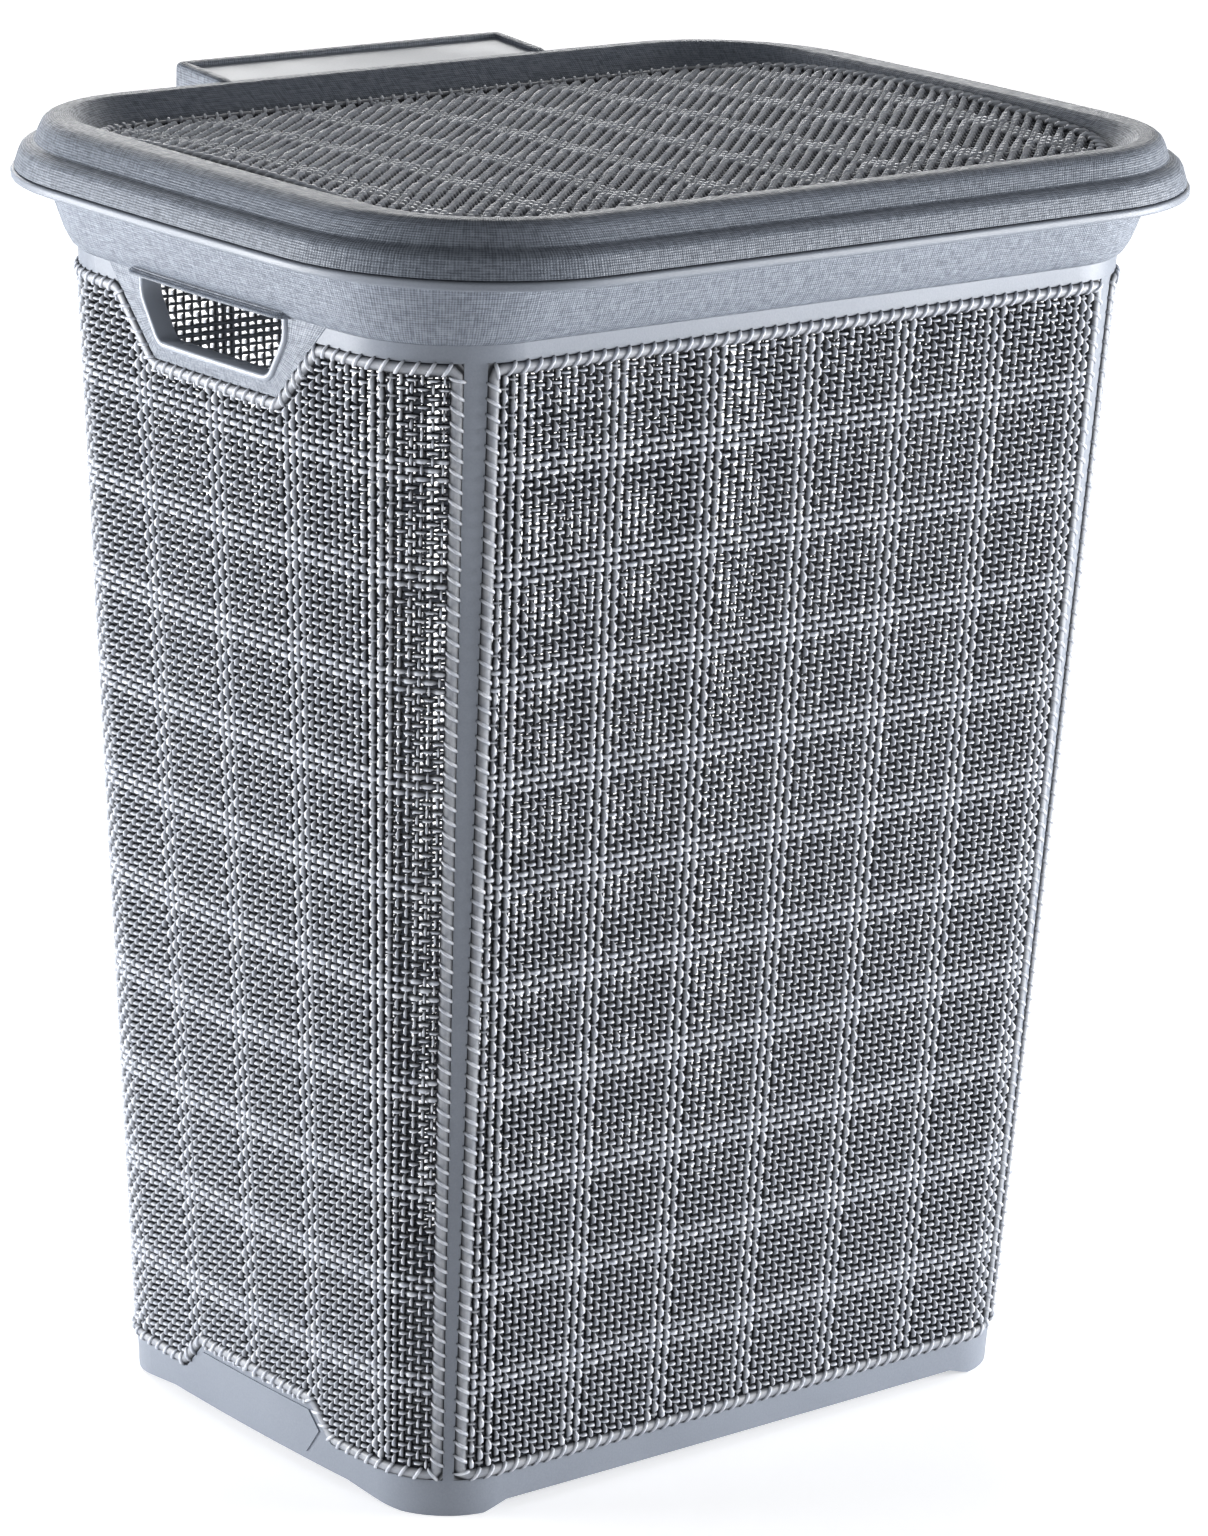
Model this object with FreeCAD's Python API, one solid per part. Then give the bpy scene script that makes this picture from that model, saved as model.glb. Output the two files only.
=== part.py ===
import FreeCAD, Part

import math
import os

# Laundry hamper with a hinged lid, in millimetres, +Z up, front towards -Y.
# The tub is drawn about its own centre line. Every part is then moved along Y as it is saved,
# so that the origin is the centre of the bottom of the whole hamper's box.

# --- tub: outline of the wall at the two ends of the woven panels ----------------------------
PANEL_TOP_Z = 520.0
PANEL_BOTTOM_Z = 17.0
TOP_HALF_X = 212.0
TOP_HALF_Y = 142.5
TOP_CORNER_R = 54.0
TOP_BOW_X = 8.0
TOP_BOW_Y = 2.0
BOTTOM_HALF_X = 178.0
BOTTOM_HALF_Y = 123.5
BOTTOM_CORNER_R = 38.0
BOTTOM_BOW_X = 4.7
BOTTOM_BOW_Y = 1.0
WALL = 2.4
WEAVE_PROUD = 0.6
CORD_WIDTH = 5.6
CORD_PROUD = 1.6

# --- base ------------------------------------------------------------------------------------
FOOT_HEIGHT = 3.8
FOOT_WALL = 7.0
FOOT_START_X = 131.0
FOOT_START_Y = 66.0
FOOT_RAMP_X = 12.0
FOOT_RAMP_Y = 34.0
FLOOR_Z = 6.0
FLOOR_THICKNESS = 2.6
PLAQUE_TOP_HALF_Y = 40.2
PLAQUE_MIDDLE_HALF_Y = 47.4
PLAQUE_BOTTOM_HALF_Y = 37.7
PLAQUE_TOP_Z = 29.0
PLAQUE_MIDDLE_Z = 20.8
PLAQUE_BOTTOM_Z = 7.9
PLAQUE_PROUD = 0.7
PLAQUE_MARGIN = 3.2
PLAQUE_NOTCH_RUN = 14.0
PLAQUE_CLEAR_HALF_Y = 41.2
PLAQUE_CORD_TOP_SHARE = 0.6
PLAQUE_CORD_FOOT_SHARE = 1.4

# --- corner strips between the panels --------------------------------------------------------
STRIP_TOP_WIDTH = 10.0
STRIP_BOTTOM_WIDTH = 4.8
STRIP_TOP_ANGLE = 66.0
STRIP_BOTTOM_ANGLE = 56.0

# --- handles in the two short sides ----------------------------------------------------------
HANDLE_HALF_WIDTH = 50.5
HANDLE_BOTTOM_HALF_WIDTH = 39.0
HANDLE_SHOULDER_DROP = 1.5
HANDLE_DEPTH = 20.0
HANDLE_MARGIN = 8.6
HANDLE_NOTCH_TOP_HALF_Y = 71.5
HANDLE_NOTCH_BOTTOM_HALF_Y = 44.5
HANDLE_LIP_WIDTH = 3.0
HANDLE_LIP_PROUD = 1.5
HANDLE_REVEAL = 6.0
SLANT_SHARE = 0.7
GRIP_HALF_LENGTH = 56.0
GRIP_HEIGHT = 4.8
GRIP_REACH = 7.0

# --- collar and flange -----------------------------------------------------------------------
NECK_HEIGHT = 7.5
COLLAR_EDGE_RISE = 2.0
COLLAR_EDGE_OUT = 2.6
COLLAR_SHOULDER_RISE = 7.0
COLLAR_SHOULDER_OUT = 5.8
COLLAR_HEIGHT = 29.0
COLLAR_TOP_OUT = 14.0
FLANGE_THICKNESS = 3.8
FLANGE_OUT_X = 28.0
FLANGE_OUT_Y = 39.7
FLANGE_CORNER_R = 98.0
FLANGE_BOW_X = 5.8
FLANGE_BOW_Y = 3.0

# --- lid -------------------------------------------------------------------------------------
LID_WALL = 2.4
LID_GAP = 0.5
LID_EDGE_INSET = 1.3
BAND_HEIGHT = 11.6
BAND_SHOULDER_HEIGHT = 8.6
BAND_TOP_HEIGHT = 10.7
BAND_SHOULDER_INSET = 2.6
BAND_TOP_INSET = 5.8
GROOVE_INSET = 8.8
RIM_INSET_X = 18.0
RIM_INSET_Y = 16.9
RIM_CORNER_R = 74.0
RIM_BOW_X = 5.6
RIM_BOW_Y = 2.8
RIM_HEIGHT = 22.0
RIM_ROUND = 1.2
RIM_BELLY = 0.55
RIM_BELLY_HEIGHT = 0.74
RIM_WIDTH_X = 16.5
RIM_WIDTH_Y = 11.3
WELL_TOP_CORNER_R = 53.0
WELL_DROP = 1.9
WELL_SLOPE_X = 4.5
WELL_SLOPE_Y = 12.5
LID_PANEL_CORNER_R = 50.0
LID_PANEL_BOW_X = 5.0
LID_PANEL_BOW_Y = 2.0
LID_PANEL_DROP = 11.2
LID_PANEL_CROWN = 8.0
LID_PANEL_THICKNESS = 2.4
LID_CORD_PROUD = 1.4
LID_CORD_CLEARANCE = 0.2
LEDGE_THICKNESS = 2.0
LEDGE_WIDTH = 4.0

# --- hinge -----------------------------------------------------------------------------------
COVER_HALF_X = 94.0
COVER_REAR_OUT = 17.3
COVER_FRONT_OUT = 1.0
COVER_FRONT_HEIGHT = 0.5
COVER_SLOPE = 0.08
COVER_WALL = 2.5
COVER_TOP_WALL = 3.2
COVER_DROP = 16.8
PLATE_BORDER = 3.6
PLATE_SUNK = 0.7
PLATE_THICKNESS = 1.1
HINGE_OUT = 8.3
HINGE_RISE = 7.7
KNUCKLE_X = 58.0
KNUCKLE_WIDTH = 12.0
KNUCKLE_R = 4.5
PIN_R = 2.0
PIN_CLEARANCE = 0.05
SIDE_CLEARANCE = 0.4
LUG_THICKNESS = 3.0
LUG_R = 5.0
NOTCH_CLEARANCE = 2.0
NOTCH_TOP_ABOVE_PIN = 8.0
PIN_OVERHANG = 0.6
BRACKET_REAR_INSET = 0.5

# --- worked out from the above ---------------------------------------------------------------
HANDLE_SHOULDER_Z = PANEL_TOP_Z - HANDLE_SHOULDER_DROP
HANDLE_BOTTOM_Z = PANEL_TOP_Z - HANDLE_DEPTH
NECK_TOP_Z = PANEL_TOP_Z + NECK_HEIGHT
COLLAR_EDGE_Z = NECK_TOP_Z + COLLAR_EDGE_RISE
COLLAR_SHOULDER_Z = NECK_TOP_Z + COLLAR_SHOULDER_RISE
FLANGE_BOTTOM_Z = NECK_TOP_Z + COLLAR_HEIGHT
FLANGE_HALF_X = TOP_HALF_X + FLANGE_OUT_X
FLANGE_HALF_Y = TOP_HALF_Y + FLANGE_OUT_Y
RIM_HALF_X = FLANGE_HALF_X - RIM_INSET_X
RIM_HALF_Y = FLANGE_HALF_Y - RIM_INSET_Y
WELL_TOP_HALF_X = RIM_HALF_X - RIM_WIDTH_X
WELL_TOP_HALF_Y = RIM_HALF_Y - RIM_WIDTH_Y
LID_PANEL_HALF_X = WELL_TOP_HALF_X - WELL_SLOPE_X
LID_PANEL_HALF_Y = WELL_TOP_HALF_Y - WELL_SLOPE_Y
FLANGE_TOP_Z = FLANGE_BOTTOM_Z + FLANGE_THICKNESS
LID_Z = FLANGE_TOP_Z + LID_GAP
RIM_Z = LID_Z + RIM_HEIGHT
WELL_Z = RIM_Z - WELL_DROP
LID_PANEL_EDGE_Z = RIM_Z - LID_PANEL_DROP
COVER_REAR_Y = FLANGE_HALF_Y + COVER_REAR_OUT
COVER_FRONT_Y = WELL_TOP_HALF_Y + COVER_FRONT_OUT
HINGE_Y = FLANGE_HALF_Y + HINGE_OUT
HINGE_Z = FLANGE_TOP_Z + HINGE_RISE
COVER_BOTTOM_Z = RIM_Z - COVER_DROP
SHIFT_Y = (FLANGE_HALF_Y - COVER_REAR_Y) / 2.0
PLINTH_BOTTOM_Z = FOOT_HEIGHT
BIG = 700.0
OVERCUT = 1.0
WEDGE_REACH = 12.0


def vec(x, y, z):
    return FreeCAD.Vector(x, y, z)


# --- outlines --------------------------------------------------------------------------------
# An outline is a rectangle with bowed sides and round corners:
# half width, half depth, corner radius, radius of the bowed short and long sides.

def outline(half_x, half_y, corner_r, bow_x, bow_y):
    side_x = half_y ** 2 / (2.0 * bow_x)
    side_y = half_x ** 2 / (2.0 * bow_y)
    return (half_x, half_y, corner_r, side_x, side_y)


def grow(shape, by):
    return tuple(value + by for value in shape)


def blend(first, second, share):
    return tuple(a + (b - a) * share for a, b in zip(first, second))


def corner_centre(shape):
    half_x, half_y, corner_r, side_x, side_y = shape
    ax, ay = half_x - side_x, 0.0
    bx, by = 0.0, half_y - side_y
    ra, rb = side_x - corner_r, side_y - corner_r
    gap = math.hypot(bx - ax, by - ay)
    along = (ra ** 2 - rb ** 2 + gap ** 2) / (2.0 * gap)
    across = math.sqrt(ra ** 2 - along ** 2)
    ux, uy = (bx - ax) / gap, (by - ay) / gap
    first = (ax + ux * along - uy * across, ay + uy * along + ux * across)
    second = (ax + ux * along + uy * across, ay + uy * along - ux * across)
    return max(first, second)


def corner_points(shape):
    """Start, middle and end of the corner arc in the +X +Y quarter."""
    half_x, half_y, corner_r, side_x, side_y = shape
    cx, cy = corner_centre(shape)
    start = math.atan2(cy, cx - (half_x - side_x))
    end = math.atan2(cy - (half_y - side_y), cx)
    angles = (start, (start + end) / 2.0, end)
    return [(cx + corner_r * math.cos(a), cy + corner_r * math.sin(a)) for a in angles]


def wire(shape, z):
    half_x, half_y = shape[0], shape[1]
    start, middle, end = corner_points(shape)
    ring = []
    for sx, sy in ((1, 1), (-1, 1), (-1, -1), (1, -1)):
        quarter = [(sx * p[0], sy * p[1]) for p in (start, middle, end)]
        if sx * sy < 0:
            quarter.reverse()
        ring.append(quarter)
    tops = ((0.0, half_y), (-half_x, 0.0), (0.0, -half_y), (half_x, 0.0))
    edges = []
    for i, quarter in enumerate(ring):
        following = ring[(i + 1) % 4]
        a, b, c = [vec(p[0], p[1], z) for p in quarter]
        edges.append(Part.Arc(a, b, c).toShape())
        d = vec(tops[i][0], tops[i][1], z)
        e = vec(following[0][0], following[0][1], z)
        edges.append(Part.Arc(c, d, e).toShape())
    return Part.Wire(edges)


def loft(sections):
    return Part.makeLoft([wire(shape, z) for shape, z in sections], True, True)


def prism(shape, low, high):
    return loft(((shape, low), (shape, high)))


def box(low, high):
    size = [b - a for a, b in zip(low, high)]
    return Part.makeBox(size[0], size[1], size[2], vec(*low))


def slab(low, high):
    return box((-BIG, -BIG, low), (BIG, BIG, high))


def polygon_along_x(points, x_low, x_high):
    """A prism of a (y, z) polygon, from x_low to x_high."""
    corners = [vec(x_low, y, z) for y, z in points]
    face = Part.Face(Part.makePolygon(corners + corners[:1]))
    return face.extrude(vec(x_high - x_low, 0, 0))


def fuse(shapes):
    whole = shapes[0]
    for shape in shapes[1:]:
        whole = whole.fuse(shape)
    return whole.removeSplitter()


def mirror_x(shape):
    return shape.mirror(vec(0, 0, 0), vec(1, 0, 0))


# --- the tub's wall --------------------------------------------------------------------------
TOP_OUTLINE = outline(TOP_HALF_X, TOP_HALF_Y, TOP_CORNER_R, TOP_BOW_X, TOP_BOW_Y)
BOTTOM_OUTLINE = outline(BOTTOM_HALF_X, BOTTOM_HALF_Y, BOTTOM_CORNER_R, BOTTOM_BOW_X, BOTTOM_BOW_Y)


def tub_outline(z):
    share = (z - PANEL_BOTTOM_Z) / (PANEL_TOP_Z - PANEL_BOTTOM_Z)
    return blend(BOTTOM_OUTLINE, TOP_OUTLINE, share)


def tub(out):
    return loft(((grow(tub_outline(0.0), out), 0.0), (grow(tub_outline(NECK_TOP_Z), out), NECK_TOP_Z)))


TUB_OUTSIDE = tub(0.0)
TUB_INSIDE = tub(-WALL)
TUB_WALL = TUB_OUTSIDE.cut(TUB_INSIDE)


def strip_wedge(extra):
    """Tool along the +X +Y corner strip, wider by extra on each side."""
    ends = ((BOTTOM_OUTLINE, STRIP_BOTTOM_ANGLE, STRIP_BOTTOM_WIDTH, PANEL_BOTTOM_Z),
            (TOP_OUTLINE, STRIP_TOP_ANGLE, STRIP_TOP_WIDTH, PANEL_TOP_Z))
    rings = []
    for shape, angle, width, z in ends:
        cx, cy = corner_centre(shape)
        turn = (width / 2.0 + extra) / shape[2]
        corners = []
        for side, reach in ((-1, 1), (1, 1), (1, -1), (-1, -1)):
            a = math.radians(angle) + side * turn
            r = shape[2] + reach * WEDGE_REACH
            corners.append(vec(cx + r * math.cos(a), cy + r * math.sin(a), z))
        rings.append(Part.makePolygon(corners + corners[:1]))
    return Part.makeLoft(rings, True, True)


def four_ways(shape):
    """Named copies of a tool drawn in the +X +Y quarter."""
    rear_right = shape
    rear_left = mirror_x(shape)
    turn = vec(0, 1, 0)
    return {"rear_right": rear_right, "rear_left": rear_left,
            "front_right": rear_right.mirror(vec(0, 0, 0), turn),
            "front_left": rear_left.mirror(vec(0, 0, 0), turn)}


def both_sides(points):
    """Tool for the two short sides from a (y, z) polygon."""
    return polygon_along_x(points, -BIG, BIG)


def handle_notch(extra):
    top, bottom = HANDLE_NOTCH_TOP_HALF_Y + extra, HANDLE_NOTCH_BOTTOM_HALF_Y + extra * SLANT_SHARE
    low, high = HANDLE_BOTTOM_Z - HANDLE_MARGIN - extra, PANEL_TOP_Z
    above = HANDLE_NOTCH_TOP_HALF_Y - HANDLE_NOTCH_BOTTOM_HALF_Y
    slope = above / (PANEL_TOP_Z - HANDLE_BOTTOM_Z + HANDLE_MARGIN)
    top += slope * WALL
    return both_sides([(-bottom, low), (bottom, low), (top, high + WALL), (-top, high + WALL)])


def plaque_notch(extra):
    top, low = PLAQUE_TOP_Z + PLAQUE_MARGIN, PANEL_BOTTOM_Z
    slope = PLAQUE_NOTCH_RUN / (top - low)
    half = PLAQUE_CLEAR_HALF_Y + extra * PLAQUE_CORD_TOP_SHARE
    half_low = PLAQUE_CLEAR_HALF_Y + PLAQUE_NOTCH_RUN + extra * PLAQUE_CORD_FOOT_SHARE + slope * WALL
    under = low - WALL
    return both_sides([(-half, top + extra), (half, top + extra), (half_low, under), (-half_low, under)])


def handle_opening(extra):
    wide, narrow = HANDLE_HALF_WIDTH + extra, HANDLE_BOTTOM_HALF_WIDTH + extra * SLANT_SHARE
    low, high = HANDLE_BOTTOM_Z - extra, NECK_TOP_Z + OVERCUT
    return both_sides([(-narrow, low), (narrow, low), (wide, HANDLE_SHOULDER_Z), (wide, high),
                       (-wide, high), (-wide, HANDLE_SHOULDER_Z)])


def side_of(solid):
    centre = solid.BoundBox.Center
    if abs(centre.y) > abs(centre.x):
        return "rear" if centre.y > 0 else "front"
    return "right" if centre.x > 0 else "left"


def four_panels(shell, strip_extra, low, high, notch_extra):
    """The four pieces of a shell between the corner strips."""
    ring = shell.common(slab(low, high))
    for tool in four_ways(strip_wedge(strip_extra)).values():
        ring = ring.cut(tool)
    pieces = {side_of(s): s for s in ring.Solids}
    for side in ("left", "right"):
        pieces[side] = pieces[side].cut(handle_notch(notch_extra)).cut(plaque_notch(notch_extra))
    return pieces


def woven_panels():
    shell = tub(WEAVE_PROUD).cut(TUB_INSIDE)
    low, high = PANEL_BOTTOM_Z + CORD_WIDTH, PANEL_TOP_Z - CORD_WIDTH
    return four_panels(shell, CORD_WIDTH, low, high, CORD_WIDTH)


def panel_cords():
    shell = tub(CORD_PROUD).cut(TUB_INSIDE)
    low, high = PANEL_BOTTOM_Z + CORD_WIDTH, PANEL_TOP_Z - CORD_WIDTH
    outer = four_panels(shell, 0.0, PANEL_BOTTOM_Z, PANEL_TOP_Z, 0.0)
    inner = four_panels(shell, CORD_WIDTH, low, high, CORD_WIDTH)
    return {side: outer[side].cut(inner[side]) for side in outer}


def corner_strips():
    ring = TUB_WALL.common(slab(PANEL_BOTTOM_Z, PANEL_TOP_Z))
    return {name: ring.common(tool) for name, tool in four_ways(strip_wedge(0.0)).items()}


# --- base ------------------------------------------------------------------------------------
def half_space(side):
    if side == "left":
        return box((-BIG, -BIG, -BIG), (0, BIG, BIG))
    return box((0, -BIG, -BIG), (BIG, BIG, BIG))


def plinth():
    ring = TUB_WALL.common(slab(PLINTH_BOTTOM_Z, PANEL_BOTTOM_Z))
    raised = TUB_WALL.common(slab(PANEL_BOTTOM_Z, PLAQUE_TOP_Z + PLAQUE_MARGIN)).common(plaque_notch(0.0))
    return fuse([ring, raised])


def floor_plate():
    return TUB_INSIDE.common(slab(FLOOR_Z, FLOOR_Z + FLOOR_THICKNESS))


def foot():
    """One foot in the +X +Y corner: the wall's foot line, with a slope up at each end."""
    ring = TUB_OUTSIDE.cut(tub(-FOOT_WALL)).common(slab(0.0, FOOT_HEIGHT))
    x0, y0, h = FOOT_START_X, FOOT_START_Y, FOOT_HEIGHT
    along_x = [vec(x0, 0, h), vec(BIG, 0, h), vec(BIG, 0, 0), vec(x0 + FOOT_RAMP_X, 0, 0)]
    along_y = [vec(0, y0, h), vec(0, BIG, h), vec(0, BIG, 0), vec(0, y0 + FOOT_RAMP_Y, 0)]
    tool_x = Part.Face(Part.makePolygon(along_x + along_x[:1])).extrude(vec(0, BIG, 0))
    tool_y = Part.Face(Part.makePolygon(along_y + along_y[:1])).extrude(vec(BIG, 0, 0))
    return ring.common(tool_x).common(tool_y)


def plaque(side):
    half = ((PLAQUE_BOTTOM_HALF_Y, PLAQUE_BOTTOM_Z), (PLAQUE_MIDDLE_HALF_Y, PLAQUE_MIDDLE_Z),
            (PLAQUE_TOP_HALF_Y, PLAQUE_TOP_Z))
    points = [(-y, z) for y, z in half] + [(y, z) for y, z in reversed(half)]
    skin = tub(PLAQUE_PROUD).cut(TUB_OUTSIDE)
    return skin.common(both_sides(points)).common(half_space(side))


# --- handles ---------------------------------------------------------------------------------
def neck_band():
    return TUB_WALL.common(slab(PANEL_TOP_Z, NECK_TOP_Z)).cut(handle_opening(0.0))


def handle_surround(side):
    zone = slab(0.0, PANEL_TOP_Z).common(half_space(side))
    plate = TUB_WALL.common(handle_notch(0.0)).common(zone)
    raised = tub(HANDLE_LIP_PROUD).cut(tub(-WALL - HANDLE_REVEAL))
    rim = raised.common(handle_opening(HANDLE_LIP_WIDTH)).common(zone)
    return fuse([plate, rim]).cut(handle_opening(0.0))


def handle_grip(side, keep_clear):
    bar = tub_bar(GRIP_REACH).cut(tub_bar(0.0))
    span = box((-BIG, -GRIP_HALF_LENGTH, NECK_TOP_Z), (BIG, GRIP_HALF_LENGTH, NECK_TOP_Z + GRIP_HEIGHT))
    return bar.common(span).common(half_space(side)).cut(keep_clear)


def tub_bar(out):
    shape = grow(tub_outline(NECK_TOP_Z), out)
    return prism(shape, NECK_TOP_Z, NECK_TOP_Z + GRIP_HEIGHT)


# --- collar and flange -----------------------------------------------------------------------
FLANGE_OUTLINE = outline(FLANGE_HALF_X, FLANGE_HALF_Y, FLANGE_CORNER_R, FLANGE_BOW_X, FLANGE_BOW_Y)


def collar_solid(out):
    neck = tub_outline(NECK_TOP_Z)
    return loft(((grow(neck, out), NECK_TOP_Z),
                 (grow(neck, COLLAR_EDGE_OUT + out), COLLAR_EDGE_Z),
                 (grow(neck, COLLAR_SHOULDER_OUT + out), COLLAR_SHOULDER_Z),
                 (grow(neck, COLLAR_TOP_OUT + out), FLANGE_BOTTOM_Z)))


def collar():
    return collar_solid(0.0).cut(collar_solid(-WALL))


def flange():
    mouth = grow(tub_outline(NECK_TOP_Z), COLLAR_TOP_OUT - WALL)
    plate = prism(FLANGE_OUTLINE, FLANGE_BOTTOM_Z, FLANGE_TOP_Z)
    return plate.cut(prism(mouth, FLANGE_BOTTOM_Z - OVERCUT, FLANGE_TOP_Z + OVERCUT))


# --- lid -------------------------------------------------------------------------------------
LID_OUTLINE = grow(FLANGE_OUTLINE, -LID_EDGE_INSET)
RIM_OUTLINE = outline(RIM_HALF_X, RIM_HALF_Y, RIM_CORNER_R, RIM_BOW_X, RIM_BOW_Y)
WELL_OUTLINE = outline(WELL_TOP_HALF_X, WELL_TOP_HALF_Y, WELL_TOP_CORNER_R, RIM_BOW_X, RIM_BOW_Y)
LID_PANEL_OUTLINE = outline(LID_PANEL_HALF_X, LID_PANEL_HALF_Y, LID_PANEL_CORNER_R,
                            LID_PANEL_BOW_X, LID_PANEL_BOW_Y)


def lid_outside(out, raise_by):
    groove = grow(LID_OUTLINE, out - GROOVE_INSET)
    rim = grow(RIM_OUTLINE, out)
    z = LID_Z + raise_by
    belly_z = z + BAND_HEIGHT + (RIM_HEIGHT - BAND_HEIGHT) * RIM_BELLY_HEIGHT
    return loft(((grow(LID_OUTLINE, out), z),
                 (grow(LID_OUTLINE, out - BAND_SHOULDER_INSET), z + BAND_SHOULDER_HEIGHT),
                 (grow(LID_OUTLINE, out - BAND_TOP_INSET), z + BAND_TOP_HEIGHT),
                 (groove, z + BAND_HEIGHT),
                 (blend(groove, rim, RIM_BELLY), belly_z),
                 (rim, z + RIM_HEIGHT - RIM_ROUND / 2.0),
                 (grow(rim, -RIM_ROUND), z + RIM_HEIGHT)))


def well(out, low):
    """The dished recess inside the rim, down to low."""
    below = (WELL_Z - low) / (WELL_Z - LID_PANEL_EDGE_Z)
    foot_line = blend(WELL_OUTLINE, LID_PANEL_OUTLINE, below)
    return loft(((grow(foot_line, out), low), (grow(WELL_OUTLINE, out), WELL_Z),
                 (grow(WELL_OUTLINE, out + 2.0 * WELL_DROP), RIM_Z + WELL_DROP)))


def arch(top_offset, thickness):
    """A plate arched over the lid's depth, measured down from the woven panel's top."""
    z = LID_PANEL_EDGE_Z + top_offset
    y = LID_PANEL_HALF_Y
    upper = Part.Arc(vec(-BIG, -y, z), vec(-BIG, 0, z + LID_PANEL_CROWN), vec(-BIG, y, z)).toShape()
    z -= thickness
    lower = Part.Arc(vec(-BIG, y, z), vec(-BIG, 0, z + LID_PANEL_CROWN), vec(-BIG, -y, z)).toShape()
    ends = (Part.LineSegment(vec(-BIG, y, z + thickness), vec(-BIG, y, z)).toShape(),
            Part.LineSegment(vec(-BIG, -y, z), vec(-BIG, -y, z + thickness)).toShape())
    face = Part.Face(Part.Wire([upper, ends[0], lower, ends[1]]))
    return face.extrude(vec(2.0 * BIG, 0, 0))


def well_bottom():
    return LID_PANEL_EDGE_Z - LID_PANEL_THICKNESS - LEDGE_THICKNESS


def panel_prism(out):
    return prism(grow(LID_PANEL_OUTLINE, out), LID_Z, RIM_Z + LID_PANEL_CROWN)


def lid_panel():
    return arch(0.0, LID_PANEL_THICKNESS).common(panel_prism(-CORD_WIDTH))


def lid_cord():
    ring = panel_prism(-LID_CORD_CLEARANCE).common(well(-LID_CORD_CLEARANCE, well_bottom()))
    plate = arch(LID_CORD_PROUD, LID_PANEL_THICKNESS + LID_CORD_PROUD)
    return plate.common(ring.cut(panel_prism(-CORD_WIDTH)))


def lid_frame(cover_pocket):
    bottom = well_bottom()
    shell = lid_outside(0.0, 0.0)
    cavity = lid_outside(-LID_WALL, -LID_WALL).cut(well(LID_WALL, bottom))
    shell = shell.cut(cavity).cut(well(0.0, bottom)).cut(slab(0.0, LID_Z))
    wide = well(LID_WALL, bottom)
    ledge = arch(-LID_PANEL_THICKNESS, LEDGE_THICKNESS).common(wide)
    ledge = ledge.cut(panel_prism(-CORD_WIDTH - LEDGE_WIDTH))
    return fuse([shell, ledge]).cut(cover_pocket)


# --- hinge -----------------------------------------------------------------------------------
def cover_top(y):
    return RIM_Z + COVER_FRONT_HEIGHT + (y - COVER_FRONT_Y) * COVER_SLOPE


def cover_profile(inset_top, inset_rear, bottom):
    rear, front = COVER_REAR_Y - inset_rear, COVER_FRONT_Y
    return [(front, bottom), (rear, bottom), (rear, cover_top(rear) - inset_top),
            (front, cover_top(front) - inset_top)]


def plate_space(depth_top, depth_bottom, front):
    rear = COVER_REAR_Y - PLATE_BORDER
    points = [(front, cover_top(front) - depth_bottom), (rear, cover_top(rear) - depth_bottom),
              (rear, cover_top(rear) - depth_top), (front, cover_top(front) - depth_top)]
    half = COVER_HALF_X - PLATE_BORDER
    return polygon_along_x(points, -half, half)


def plate_pocket():
    return plate_space(-OVERCUT, PLATE_SUNK + PLATE_THICKNESS, COVER_FRONT_Y - OVERCUT)


def hinge_cover(lid_body):
    outside = polygon_along_x(cover_profile(0.0, 0.0, COVER_BOTTOM_Z), -COVER_HALF_X, COVER_HALF_X)
    half = COVER_HALF_X - COVER_WALL
    inside = polygon_along_x(cover_profile(COVER_TOP_WALL, COVER_WALL, COVER_BOTTOM_Z - OVERCUT), -half, half)
    cover = outside.cut(inside).cut(plate_pocket()).cut(lid_body)
    reach = KNUCKLE_WIDTH / 2.0 + NOTCH_CLEARANCE
    for x in (-KNUCKLE_X, KNUCKLE_X):
        low = (x - reach, COVER_REAR_Y - 2.0 * COVER_WALL, COVER_BOTTOM_Z - OVERCUT)
        high = (x + reach, COVER_REAR_Y + COVER_WALL, HINGE_Z + NOTCH_TOP_ABOVE_PIN)
        cover = cover.cut(box(low, high))
    return cover


def pin_line(radius, x_low, x_high):
    return Part.makeCylinder(radius, x_high - x_low, vec(x_low, HINGE_Y, HINGE_Z), vec(1, 0, 0))


def lug(x_low, lid_body):
    """One rib under the cover, carrying the pin beside a knuckle."""
    x_high = x_low + LUG_THICKNESS
    half = COVER_HALF_X - COVER_WALL
    profile = cover_profile(COVER_TOP_WALL, COVER_WALL, HINGE_Z)
    rib = polygon_along_x(profile, x_low, x_high).common(box((-half, 0, 0), (half, BIG, BIG)))
    eye = pin_line(LUG_R, x_low, x_high)
    bore = pin_line(PIN_R + PIN_CLEARANCE, x_low - OVERCUT, x_high + OVERCUT)
    return fuse([rib, eye]).cut(lid_body).cut(bore)


def knuckle_lugs(x, lid_body):
    inner = KNUCKLE_WIDTH / 2.0 + SIDE_CLEARANCE
    return [lug(x + inner, lid_body), lug(x - inner - LUG_THICKNESS, lid_body)]


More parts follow.
